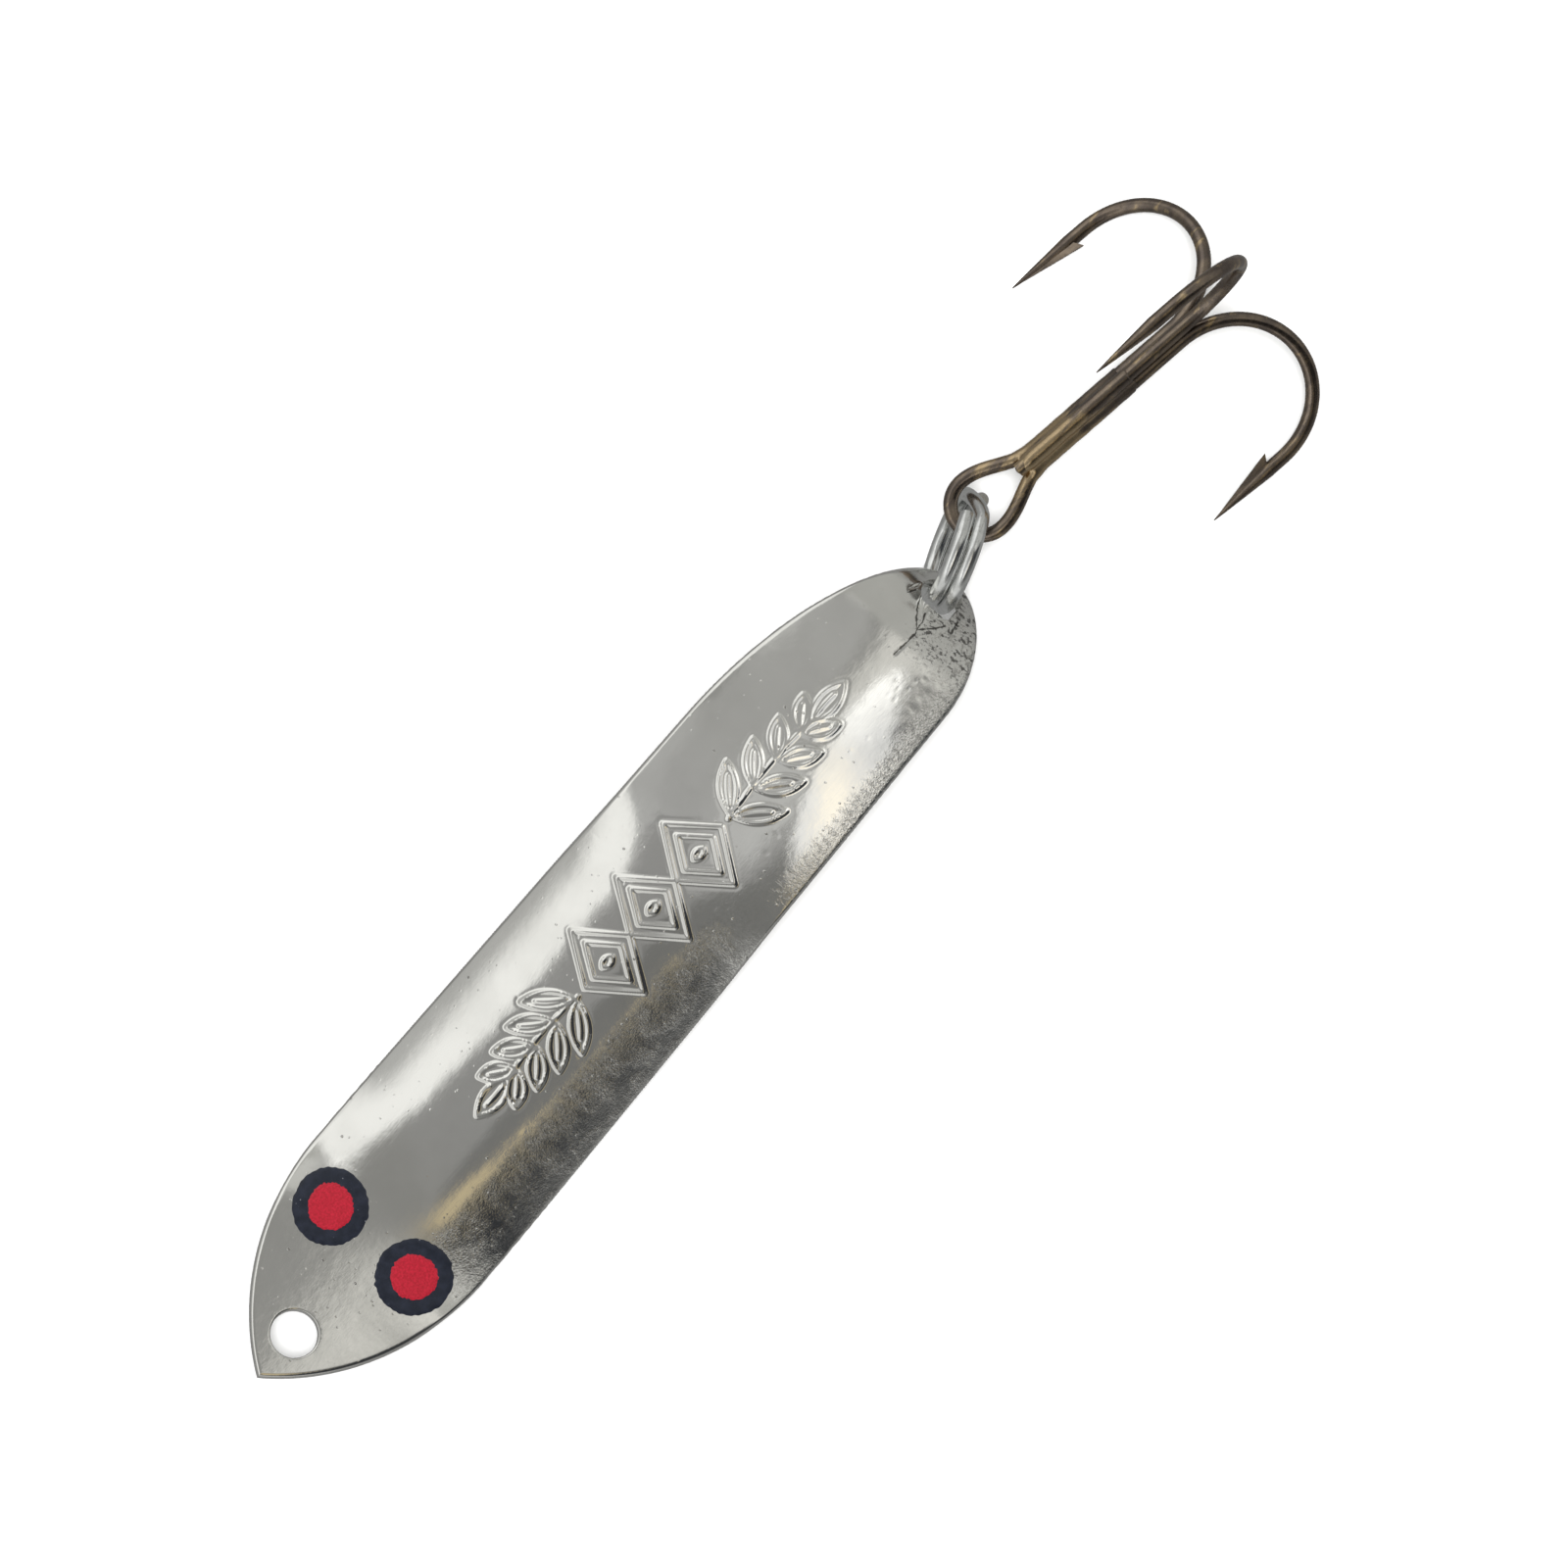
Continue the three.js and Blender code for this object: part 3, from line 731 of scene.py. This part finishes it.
def surface_net(field, low, high, step):
    """Points and faces of the surface where the field is zero, one point to a cell."""
    axes = [np.arange(a, b + step, step) for a, b in zip(low, high)]
    grid = np.meshgrid(*axes, indexing="ij")
    value = field(*grid)
    cells = tuple(n - 1 for n in value.shape)
    total, count = np.zeros(cells + (3,)), np.zeros(cells)

    def part(array, corner):
        return array[tuple(slice(c, c + n) for c, n in zip(corner, cells))]

    corners = [(i, j, k) for i in (0, 1) for j in (0, 1) for k in (0, 1)]
    for a in corners:
        for axis in range(3):
            if a[axis]:
                continue
            b = tuple(c + (n == axis) for n, c in enumerate(a))
            va, vb = part(value, a), part(value, b)
            crossed = (va < 0) != (vb < 0)
            share = np.where(crossed, va / np.where(crossed, va - vb, 1), 0)
            for n in range(3):
                pa, pb = part(grid[n], a), part(grid[n], b)
                total[..., n] += np.where(crossed, pa + (pb - pa) * share, 0)
            count += crossed
    used = count > 0
    number = np.full(cells, -1)
    number[used] = np.arange(used.sum())
    points = total[used] / count[used][:, None]
    faces = []
    for axis in range(3):
        u, v = (axis + 1) % 3, (axis + 2) % 3
        ahead = np.roll(value, -1, axis)
        crossed = (value < 0) != (ahead < 0)
        at = np.argwhere(crossed)
        at = at[(at[:, axis] < cells[axis]) & (at[:, u] > 0) & (at[:, v] > 0)]
        at = at[(at[:, u] < cells[u]) & (at[:, v] < cells[v])]
        ring = []
        for du, dv in ((1, 1), (0, 1), (0, 0), (1, 0)):
            cell = at.copy()
            cell[:, u] -= du
            cell[:, v] -= dv
            ring.append(number[tuple(cell.T)])
        quads = np.stack(ring, -1)
        outward = value[tuple(at.T)] < 0
        quads[~outward] = quads[~outward][:, ::-1]
        faces += quads.tolist()
    return points, faces


def settle(points, field, times=3):
    """Moves points straight onto the surface where the field is zero."""
    reach = 0.004
    for _ in range(times):
        here = field(*points.T)
        slope = np.zeros_like(points)
        for n in range(3):
            nudge = np.zeros(3)
            nudge[n] = reach
            slope[:, n] = field(*(points + nudge).T) - field(*(points - nudge).T)
        slope /= 2 * reach
        size = np.clip((slope**2).sum(1), 0.25, None)
        points = points - np.clip(here / size, -0.03, 0.03)[:, None] * slope
    return points


def make_braze():
    """Braze wetted over the shanks, with a hollow crotch and an uneven far end."""
    points, faces = surface_net(braze_field, (2.9, -1.9, -1.1), (13.5, 1.9, 1.5), 0.062)
    points = settle(points, braze_field)
    return clean(mesh_object("braze_skin", points, faces, hook_place()), 60 * DEG)


# ---- Materials -------------------------------------------------------------


class Nodes:
    """Short ways to add shader nodes to one tree."""

    def __init__(self, tree):
        self.tree = tree
        tree.nodes.clear()

    def add(self, kind, **values):
        node = self.tree.nodes.new(kind)
        for key, value in values.items():
            setattr(node, key, value)
        return node

    def put(self, source, target):
        if isinstance(source, (int, float, tuple)):
            target.default_value = source
        else:
            self.tree.links.new(source, target)

    def math(self, operation, a, b=0.0):
        node = self.add("ShaderNodeMath", operation=operation)
        for value, socket in zip((a, b), node.inputs):
            self.put(value, socket)
        return node.outputs[0]

    def step(self, value, low, high, start=0.0, end=1.0):
        """Smooth change from start to end as value goes from low to high."""
        node = self.add("ShaderNodeMapRange", interpolation_type="SMOOTHSTEP")
        for key, number in (("Value", value), ("From Min", low), ("From Max", high)):
            self.put(number, node.inputs[key])
        self.put(start, node.inputs["To Min"])
        self.put(end, node.inputs["To Max"])
        return node.outputs["Result"]

    def mix(self, factor, a, b):
        node = self.add("ShaderNodeMix", data_type="RGBA")
        self.put(factor, node.inputs[0])
        for value, socket in ((a, node.inputs[6]), (b, node.inputs[7])):
            self.put((*value, 1.0) if isinstance(value, tuple) else value, socket)
        return node.outputs[2]

    def coords(self):
        """Position at rest in the design frame, in millimetres."""
        place = self.add("ShaderNodeTexCoord").outputs["Object"]
        moved = self.add("ShaderNodeVectorMath", operation="SUBTRACT")
        self.put(place, moved.inputs[0])
        moved.inputs[1].default_value = tuple(SHIFT)
        scale = self.add("ShaderNodeVectorMath", operation="SCALE")
        self.put(moved.outputs[0], scale.inputs[0])
        scale.inputs["Scale"].default_value = 1 / MM
        return scale.outputs[0]

    def split(self, vector):
        node = self.add("ShaderNodeSeparateXYZ")
        self.put(vector, node.inputs[0])
        return node.outputs

    def times(self, *values):
        product = values[0]
        for value in values[1:]:
            product = self.math("MULTIPLY", product, value)
        return product

    def along(self, vector, start, direction):
        """Distance along a direction from a start point."""
        offset = self.add("ShaderNodeVectorMath", operation="SUBTRACT")
        self.put(vector, offset.inputs[0])
        offset.inputs[1].default_value = tuple(start)
        dot = self.add("ShaderNodeVectorMath", operation="DOT_PRODUCT")
        self.put(offset.outputs[0], dot.inputs[0])
        dot.inputs[1].default_value = tuple(direction)
        return dot.outputs["Value"]

    def stretched(self, vector, stretch, turn=0.0):
        node = self.add("ShaderNodeMapping")
        self.put(vector, node.inputs["Vector"])
        node.inputs["Scale"].default_value = stretch
        node.inputs["Rotation"].default_value = (0, 0, turn)
        return node.outputs[0]

    def noise(self, vector, scale, detail=3.0, rough=0.55):
        node = self.add("ShaderNodeTexNoise")
        self.put(vector, node.inputs["Vector"])
        node.inputs["Scale"].default_value = scale
        node.inputs["Detail"].default_value = detail
        node.inputs["Roughness"].default_value = rough
        return node.outputs["Fac"]

    def dots(self, vector, scale):
        """Distance to the nearest of many scattered points."""
        node = self.add("ShaderNodeTexVoronoi")
        self.put(vector, node.inputs["Vector"])
        node.inputs["Scale"].default_value = scale
        return node.outputs["Distance"]

    def bump(self, height, distance, normal=None):
        """A normal from a height that is distance millimetres tall where it is 1."""
        node = self.add("ShaderNodeBump")
        node.inputs["Strength"].default_value = 1.0
        node.inputs["Distance"].default_value = distance * MM
        self.put(height, node.inputs["Height"])
        if normal is not None:
            self.put(normal, node.inputs["Normal"])
        return node.outputs[0]


def material(name, metallic, build):
    """A Principled material; build returns its colour, roughness and normal."""
    made = bpy.data.materials.new(name)
    made.use_nodes = True
    nodes = Nodes(made.node_tree)
    shader = nodes.add("ShaderNodeBsdfPrincipled")
    output = nodes.add("ShaderNodeOutputMaterial")
    nodes.put(shader.outputs[0], output.inputs[0])
    shader.inputs["Metallic"].default_value = metallic
    colour, roughness, normal = build(nodes)
    nodes.put(colour, shader.inputs["Base Color"])
    nodes.put(roughness, shader.inputs["Roughness"])
    nodes.put(normal, shader.inputs["Normal"])
    return made


PAD_BELLY = 0.009  # per millimetre: how fast the nose pad falls away from its middle


def plate_look(n):
    """Bright nickel plate: faint waves, fine scuffs along the blade, tarnish specks,
    and a coarser, pitted skin down the right side and round the tail hole."""
    at = n.coords()
    x, y, _ = n.split(at)
    right_side = n.times(n.step(y, -2.6, -3.8), n.step(x, 11, 15), n.step(x, 47, 38))
    right_side = n.times(right_side, n.step(n.noise(at, 0.8, 2.0), 0.3, 0.75, 0.35, 1.0))
    tail_edge = n.times(n.step(y, -4.6, -6.0, 0.0, 0.5), n.step(x, 45, 50))
    tail_end = n.times(n.step(x, 64.0, 66.3), n.step(y, -0.6, -2.0))
    coarse = n.math("MAXIMUM", right_side, n.math("MAXIMUM", tail_edge, tail_end))

    waves = n.noise(at, 0.35, 2.0)
    peel = n.noise(at, 2.2, 2.0)
    grain = n.noise(at, 7.5, 3.0, 0.6)
    scuffs = n.noise(n.stretched(at, (0.5, 9.0, 9.0), 4 * DEG), 1.2, 4.0, 0.7)
    pricks = n.step(n.dots(at, 1.7), 0.06, 0.17, 1.0, 0.0)
    patchy = n.step(n.noise(at, 0.8, 2.0), 0.46, 0.6)
    pricks = n.times(pricks, patchy, n.math("ADD", n.times(coarse, 0.8), 0.2))
    specks = n.step(n.dots(at, 0.9), 0.04, 0.1, 1.0, 0.0)
    specks = n.times(specks, n.step(n.noise(at, 0.5, 1.0), 0.52, 0.62))

    cloud = n.noise(at, 0.22, 3.0)
    colour = n.mix(n.step(cloud, 0.35, 0.7), (0.85, 0.845, 0.815), (0.79, 0.785, 0.755))
    colour = n.mix(n.times(pricks, 0.6), colour, (0.3, 0.28, 0.25))
    colour = n.mix(n.times(specks, 0.45), colour, (0.25, 0.23, 0.2))
    grime = n.times(tail_end, n.step(n.noise(at, 2.4, 4.0, 0.7), 0.5, 0.66))
    colour = n.mix(n.times(grime, 0.5), colour, (0.16, 0.15, 0.13))
    stained = n.times(right_side, n.step(n.noise(at, 3.5, 4.0, 0.7), 0.4, 0.65))
    colour = n.mix(n.times(stained, 0.55), colour, (0.2, 0.2, 0.2))
    flakes = n.step(n.noise(n.stretched(at, (3.6, 2.2, 3.0), 0.6), 1.0, 3.0, 0.6), 0.55, 0.6)
    flakes = n.times(flakes, n.math("MAXIMUM", tail_end, n.times(tail_edge, 0.6)))
    colour = n.mix(n.times(flakes, 0.8), colour, (0.07, 0.065, 0.058))
    # painted shade: the creases by the tail hole are darkened in thin lines, standing in for the
    # shade in their folds
    colour = n.mix(crease_painted_shade(n, at), colour, (0.05, 0.047, 0.04))

    worn = n.math("ADD", scuffs, n.times(cloud, 0.3))
    roughness = n.step(worn, 0.4, 0.95, 0.07, 0.17)
    belly = n.times(y, y, n.step(x, 11, 7), -PAD_BELLY / 2)
    normal = n.bump(belly, 1.0)
    normal = n.bump(waves, 0.025, normal)
    normal = n.bump(peel, 0.004, normal)
    normal = n.bump(scuffs, 0.002, normal)
    normal = n.bump(n.times(grain, coarse), 0.05, normal)
    marks = n.math("ADD", n.times(flakes, -1.0), n.math("ADD", specks, pricks))
    normal = n.bump(marks, 0.05, normal)
    return colour, roughness, normal


def crease_painted_shade(n, at):
    """Painted shade in the creases by the tail hole: thin dark lines with wavering width."""
    x, y, _ = n.split(at)
    sway = n.math("SUBTRACT", n.noise(at, 1.6, 2.0), 0.5)
    y = n.math("ADD", y, n.times(sway, 0.35))
    waver = n.step(n.noise(at, 2.5, 2.0), 0.3, 0.7, 0.4, 1.3)
    total = 0.0
    for a, b, _ in crease_runs():
        length = float(np.linalg.norm(b - a))
        ux, uy = ((b - a) / length).tolist()
        dx, dy = n.math("SUBTRACT", x, float(a[0])), n.math("SUBTRACT", y, float(a[1]))
        forward = n.math("ADD", n.times(dx, ux), n.times(dy, uy))
        aside = n.math("ABSOLUTE", n.math("SUBTRACT", n.times(dy, ux), n.times(dx, uy)))
        thin = n.step(n.math("DIVIDE", aside, waver), 0.03, 0.09, 1.0, 0.0)
        within = n.times(n.step(forward, -0.1, 0.1), n.step(forward, length + 0.1, length))
        total = n.math("MAXIMUM", total, n.times(thin, within))
    return n.times(total, 0.9)


def zinc_look(n):
    """Bright zinc on spring wire: softly clouded, with a few darker stains."""
    at = n.coords()
    cloud = n.noise(at, 1.1, 3.0)
    stain = n.step(n.noise(at, 2.8, 4.0, 0.6), 0.58, 0.75)
    colour = n.mix(n.step(cloud, 0.35, 0.7), (0.86, 0.87, 0.86), (0.74, 0.75, 0.74))
    colour = n.mix(n.times(stain, 0.45), colour, (0.3, 0.3, 0.28))
    roughness = n.step(cloud, 0.3, 0.8, 0.17, 0.27)
    normal = n.bump(n.noise(at, 2.0, 2.0), 0.008)
    return colour, roughness, normal


def bronze_look(gold_from, gold_to, gilt):
    """Bronzed steel rubbed to gold in patches. There are more of them between two
    distances behind the eye, the more so the greater the gilt."""

    def build(n):
        at = n.coords()
        place = hook_place()
        down = n.along(at, place.translation, place.to_3x3() @ Vector((1, 0, 0)))
        golden = n.times(n.step(down, gold_from - 1, gold_from + 0.6),
                         n.step(down, gold_to + 4, gold_to - 1))
        streaks = n.stretched(at, (0.45, 1.0, 1.0))
        patch_noise = n.noise(n.stretched(at, (0.4, 1.7, 1.7), -HOOK_YAW), 0.95, 4.0, 0.6)
        threshold = n.math("SUBTRACT", patch_noise, n.math("SUBTRACT", 0.6, n.times(golden, gilt)))
        patches = n.step(threshold, -0.04, 0.1)
        fine = n.noise(at, 4.0, 4.0, 0.6)
        colour = n.mix(n.step(n.noise(streaks, 1.3, 3.0), 0.35, 0.7),
                       (0.185, 0.152, 0.13), (0.3, 0.24, 0.185))
        colour = n.mix(n.times(patches, 0.8), colour, (0.62, 0.47, 0.28))
        colour = n.mix(n.step(fine, 0.56, 0.8, 0.0, 0.5), colour, (0.07, 0.055, 0.05))
        roughness = n.step(fine, 0.3, 0.75, 0.2, 0.34)
        return colour, roughness, n.bump(n.noise(at, 2.6, 3.0), 0.008)

    return build


def black_paint_look(n):
    """Blue-black enamel with chips and pale dust."""
    at = n.coords()
    cloud = n.step(n.noise(at, 1.5, 3.0), 0.3, 0.8)
    dust = n.times(n.step(n.dots(at, 2.4), 0.05, 0.12, 1.0, 0.0),
                   n.step(n.noise(at, 0.9, 1.0), 0.5, 0.6))
    colour = n.mix(cloud, (0.004, 0.006, 0.012), (0.012, 0.015, 0.026))
    colour = n.mix(n.times(dust, 0.5), colour, (0.35, 0.36, 0.38))
    roughness = n.step(n.noise(at, 3.0), 0.3, 0.7, 0.38, 0.55)
    return colour, roughness, n.bump(n.noise(at, 3.5, 3.0), 0.02)


def red_paint_look(n):
    """Crimson enamel, slightly grainy."""
    at = n.coords()
    grain = n.noise(at, 7.0, 3.0, 0.7)
    colour = n.mix(n.step(grain, 0.35, 0.7), (0.24, 0.005, 0.014), (0.36, 0.01, 0.026))
    return colour, n.step(grain, 0.3, 0.7, 0.42, 0.6), n.bump(grain, 0.012)


def floor_look(n):
    at = n.coords()
    colour = n.mix(n.noise(at, 0.02, 2.0), (0.9, 0.9, 0.9), (0.92, 0.92, 0.92))
    return colour, 0.9, n.bump(n.noise(at, 2.0), 0.002)


# ---- Studio ----------------------------------------------------------------

CAMERA_HEIGHT = 500.0
CAMERA_OVER = (52.635, -1.209, 4.0)
CAMERA_TURN = 49.73 * DEG
FRAME_WIDTH = 1600 / 15.33
PANEL_HEIGHT = 39.0
FLOOR_HALF = 700.0


def make_camera():
    """Straight above the lure, turned so that the blade rises to the right."""
    data = bpy.data.cameras.new("camera")
    data.lens = data.sensor_width * CAMERA_HEIGHT / FRAME_WIDTH
    camera = bpy.data.objects.new("camera", data)
    above = Vector(CAMERA_OVER) + Vector((0, 0, CAMERA_HEIGHT))
    camera.location = above * MM + Vector(SHIFT)
    camera.rotation_euler = (0, 0, -CAMERA_TURN)
    data.clip_start, data.clip_end = 0.01, 10
    bpy.context.scene.collection.objects.link(camera)
    bpy.context.scene.camera = camera


def make_world():
    """A dim room with a broad soft window on the blade's left and a dark wall on its
    right, which light the lure and show in its metal. What the camera sees is plain.
    Directions are kept as slopes from straight up: gx to the tail, gy to the left."""
    world = bpy.data.worlds.new("studio")
    world.use_nodes = True
    bpy.context.scene.world = world
    n = Nodes(world.node_tree)
    split = n.add("ShaderNodeSeparateXYZ")
    n.put(n.add("ShaderNodeTexCoord").outputs["Generated"], split.inputs[0])
    x, y, z = split.outputs
    height = n.math("MAXIMUM", z, 0.06)
    gx = n.math("DIVIDE", x, height)
    gy = n.math("DIVIDE", y, height)

    room = n.mix(n.step(gx, -0.4, 0.0), (0.3, 0.3, 0.295), (0.28, 0.28, 0.27))
    side = n.mix(n.step(gy, 0.03, -0.03), (0.3, 0.3, 0.29), (0.78, 0.77, 0.73))
    side = n.mix(n.step(gx, 0.5, 0.62), side, (0.44, 0.44, 0.42))
    room = n.mix(n.step(gx, 0.12, 0.48), room, side)
    low_side = n.times(n.step(gy, -0.12, -0.26), n.step(gx, 0.46, 0.3))
    room = n.mix(low_side, room, (0.19, 0.19, 0.185))

    # The dark wall, towards -Y, and the floor line beyond it
    below = n.math("SUBTRACT", gy, n.math("SUBTRACT", n.times(gx, 0.72), 0.44))
    deep = n.math("MAXIMUM", n.math("SUBTRACT", n.times(gy, -1.0), 0.5), 0.0)
    reach = n.math("SUBTRACT", gx, n.math("ADD", n.times(deep, 0.9), 0.36))
    wall = n.times(n.step(below, 0.08, -0.08), n.step(reach, 0.12, -0.12))
    room = n.mix(wall, room, (0.036, 0.038, 0.042))
    beyond = n.times(n.step(gy, -1.25, -1.7), n.step(gx, 0.6, 0.2))
    room = n.mix(beyond, room, (0.15, 0.15, 0.147))

    # The broad window, towards +Y, dimmer at the top
    off_centre = n.math("ADD", gx, 0.2)
    arch = n.math("SUBTRACT", 0.62, n.times(off_centre, off_centre, 0.9))
    sill = n.math("SUBTRACT", gy, arch)
    high = n.math("MAXIMUM", n.math("SUBTRACT", gy, 0.3), 0.0)
    reach = n.math("SUBTRACT", gx, n.math("ADD", high, 0.3))
    broad = n.times(n.step(sill, -0.07, 0.12), n.step(reach, 0.1, -0.1))
    room = n.mix(broad, room, (0.99, 0.99, 0.97))
    dimmer = n.times(n.step(gy, 1.0, 1.7), n.step(gx, 0.3, -0.4, 0.3, 1.0))
    room = n.mix(dimmer, room, (0.47, 0.47, 0.46))
    room = n.mix(n.step(gx, -0.95, -1.6, 0.0, 0.5), room, (0.4, 0.4, 0.39))

    # A warm streak along the top of the dark wall
    from_streak = n.math("ABSOLUTE", n.math("SUBTRACT", below, 0.14))
    streak = n.times(n.step(from_streak, 0.14, 0.03), n.step(gx, -0.85, -0.4), n.step(gx, 0.25, 0.0))
    room = n.mix(streak, room, (0.56, 0.47, 0.3))

    # Near and below the horizon
    room = n.mix(n.step(z, 0.2, 0.0), room, (0.27, 0.27, 0.265))

    seen = n.add("ShaderNodeLightPath").outputs["Is Camera Ray"]
    colour = n.mix(seen, room, (0.95, 0.95, 0.95))
    shader = n.add("ShaderNodeBackground")
    n.put(colour, shader.inputs["Color"])
    n.put(shader.outputs[0], n.add("ShaderNodeOutputWorld").inputs[0])


def make_floor():
    """A pale plane, which the metal doesn't mirror."""
    corners = ((-1, -1), (1, -1), (1, 1), (-1, 1))
    points = [(i * FLOOR_HALF, j * FLOOR_HALF, 0) for i, j in corners]
    mesh = bpy.data.meshes.new("floor")
    mesh.from_pydata([[c * MM for c in p] for p in points], [], [(0, 1, 2, 3)])
    floor = bpy.data.objects.new("floor", mesh)
    bpy.context.scene.collection.objects.link(floor)
    mesh.materials.append(material("pale_floor", 0.0, floor_look))
    floor.visible_glossy = False


def soft_panel(name, centre, size, turn, brightness):
    """An oval diffuser above the blade that only polished metal shows."""
    data = bpy.data.lights.new(name, "AREA")
    data.shape = "ELLIPSE"
    data.size, data.size_y = (side * MM for side in size)
    data.energy = brightness * math.pi * (math.pi / 4 * data.size * data.size_y)
    light = bpy.data.objects.new(name, data)
    light.location = Vector((*centre, PANEL_HEIGHT)) * MM + Vector(SHIFT)
    light.rotation_euler = (0, 0, turn)
    light.visible_camera = False
    light.visible_diffuse = False
    bpy.context.scene.collection.objects.link(light)


def make_lights():
    """A soft light straight above, and the diffusers reflected in the tail."""
    data = bpy.data.lights.new("overhead", "AREA")
    data.size = 0.3
    data.energy = 13.0
    light = bpy.data.objects.new("overhead", data)
    light.location = (0.0, 0.0, 1.0)
    light.visible_glossy = False
    bpy.context.scene.collection.objects.link(light)

    soft_panel("tail_panel", (57.0, -12.3), (38.0, 13.0), 19 * DEG, 0.72)
    soft_panel("tail_glow_inner", (45.0, -2.0), (26.0, 11.0), 12 * DEG, 0.24)
    soft_panel("tail_glow_outer", (45.0, -2.0), (36.0, 18.0), 12 * DEG, 0.12)
    soft_panel("tail_glow_left", (58.0, 9.5), (54.0, 17.0), 0.0, 0.11)
    soft_panel("side_glow_left", (38.0, 17.5), (32.0, 13.0), 0.0, 0.15)


# ---- Assembly --------------------------------------------------------------


def blade_shift():
    """From design millimetres to row metres, from where the ring's hinge is."""
    joints = frame["record"]["behaviour"]["joints"]
    hinge = next(joint for joint in joints if joint["name"] == "ring_swing")
    web = sheet_point(np.array([WEB[0]]), np.array([WEB[1]]), 0.0)[0]
    return np.array(hinge["pos_m"]) - web * MM


def finish_piece(obj, body, slot, look, *nodes):
    obj.data.materials.clear()
    obj.data.materials.append(look)
    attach(obj, body)
    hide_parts(*nodes)


SHIFT = blade_shift()

plate = material("nickel_plate", 1.0, plate_look)
zinc = material("zinc_wire", 1.0, zinc_look)
bronze = material("bronzed_wire", 1.0, bronze_look(1.5, 5.0, 0.15))
brass = material("braze_metal", 1.0, bronze_look(3.0, 8.0, 0.27))
black = material("black_enamel", 0.0, black_paint_look)
red = material("red_enamel", 0.0, red_paint_look)

finish_piece(make_blade(), "blade", "plate", plate, "blade")
for side_name, side in (("left", 1), ("right", -1)):
    ring = paint_disc(f"{side_name}_black_coat", side, BLACK_RADIUS, 0.0, 0.05, 0.006)
    finish_piece(ring, "blade", "black_paint", black, f"{side_name}_eye_black")
    dot = paint_disc(f"{side_name}_red_coat", side, RED_RADIUS, 0.05, 0.1, 0.01)
    finish_piece(dot, "blade", "red_paint", red, f"{side_name}_eye_red")
finish_piece(make_ring(), "ring", "ring_wire", zinc, "split_ring")
finish_piece(make_hook_pair(), "hook", "hook_wire", bronze, "hook_pair")
finish_piece(make_hook_single(), "hook", "hook_wire", bronze, "hook_single")
finish_piece(make_braze(), "hook", "braze", brass, "braze")

make_camera()
make_world()
make_lights()
make_floor()
bpy.context.scene.view_settings.view_transform = "Standard"
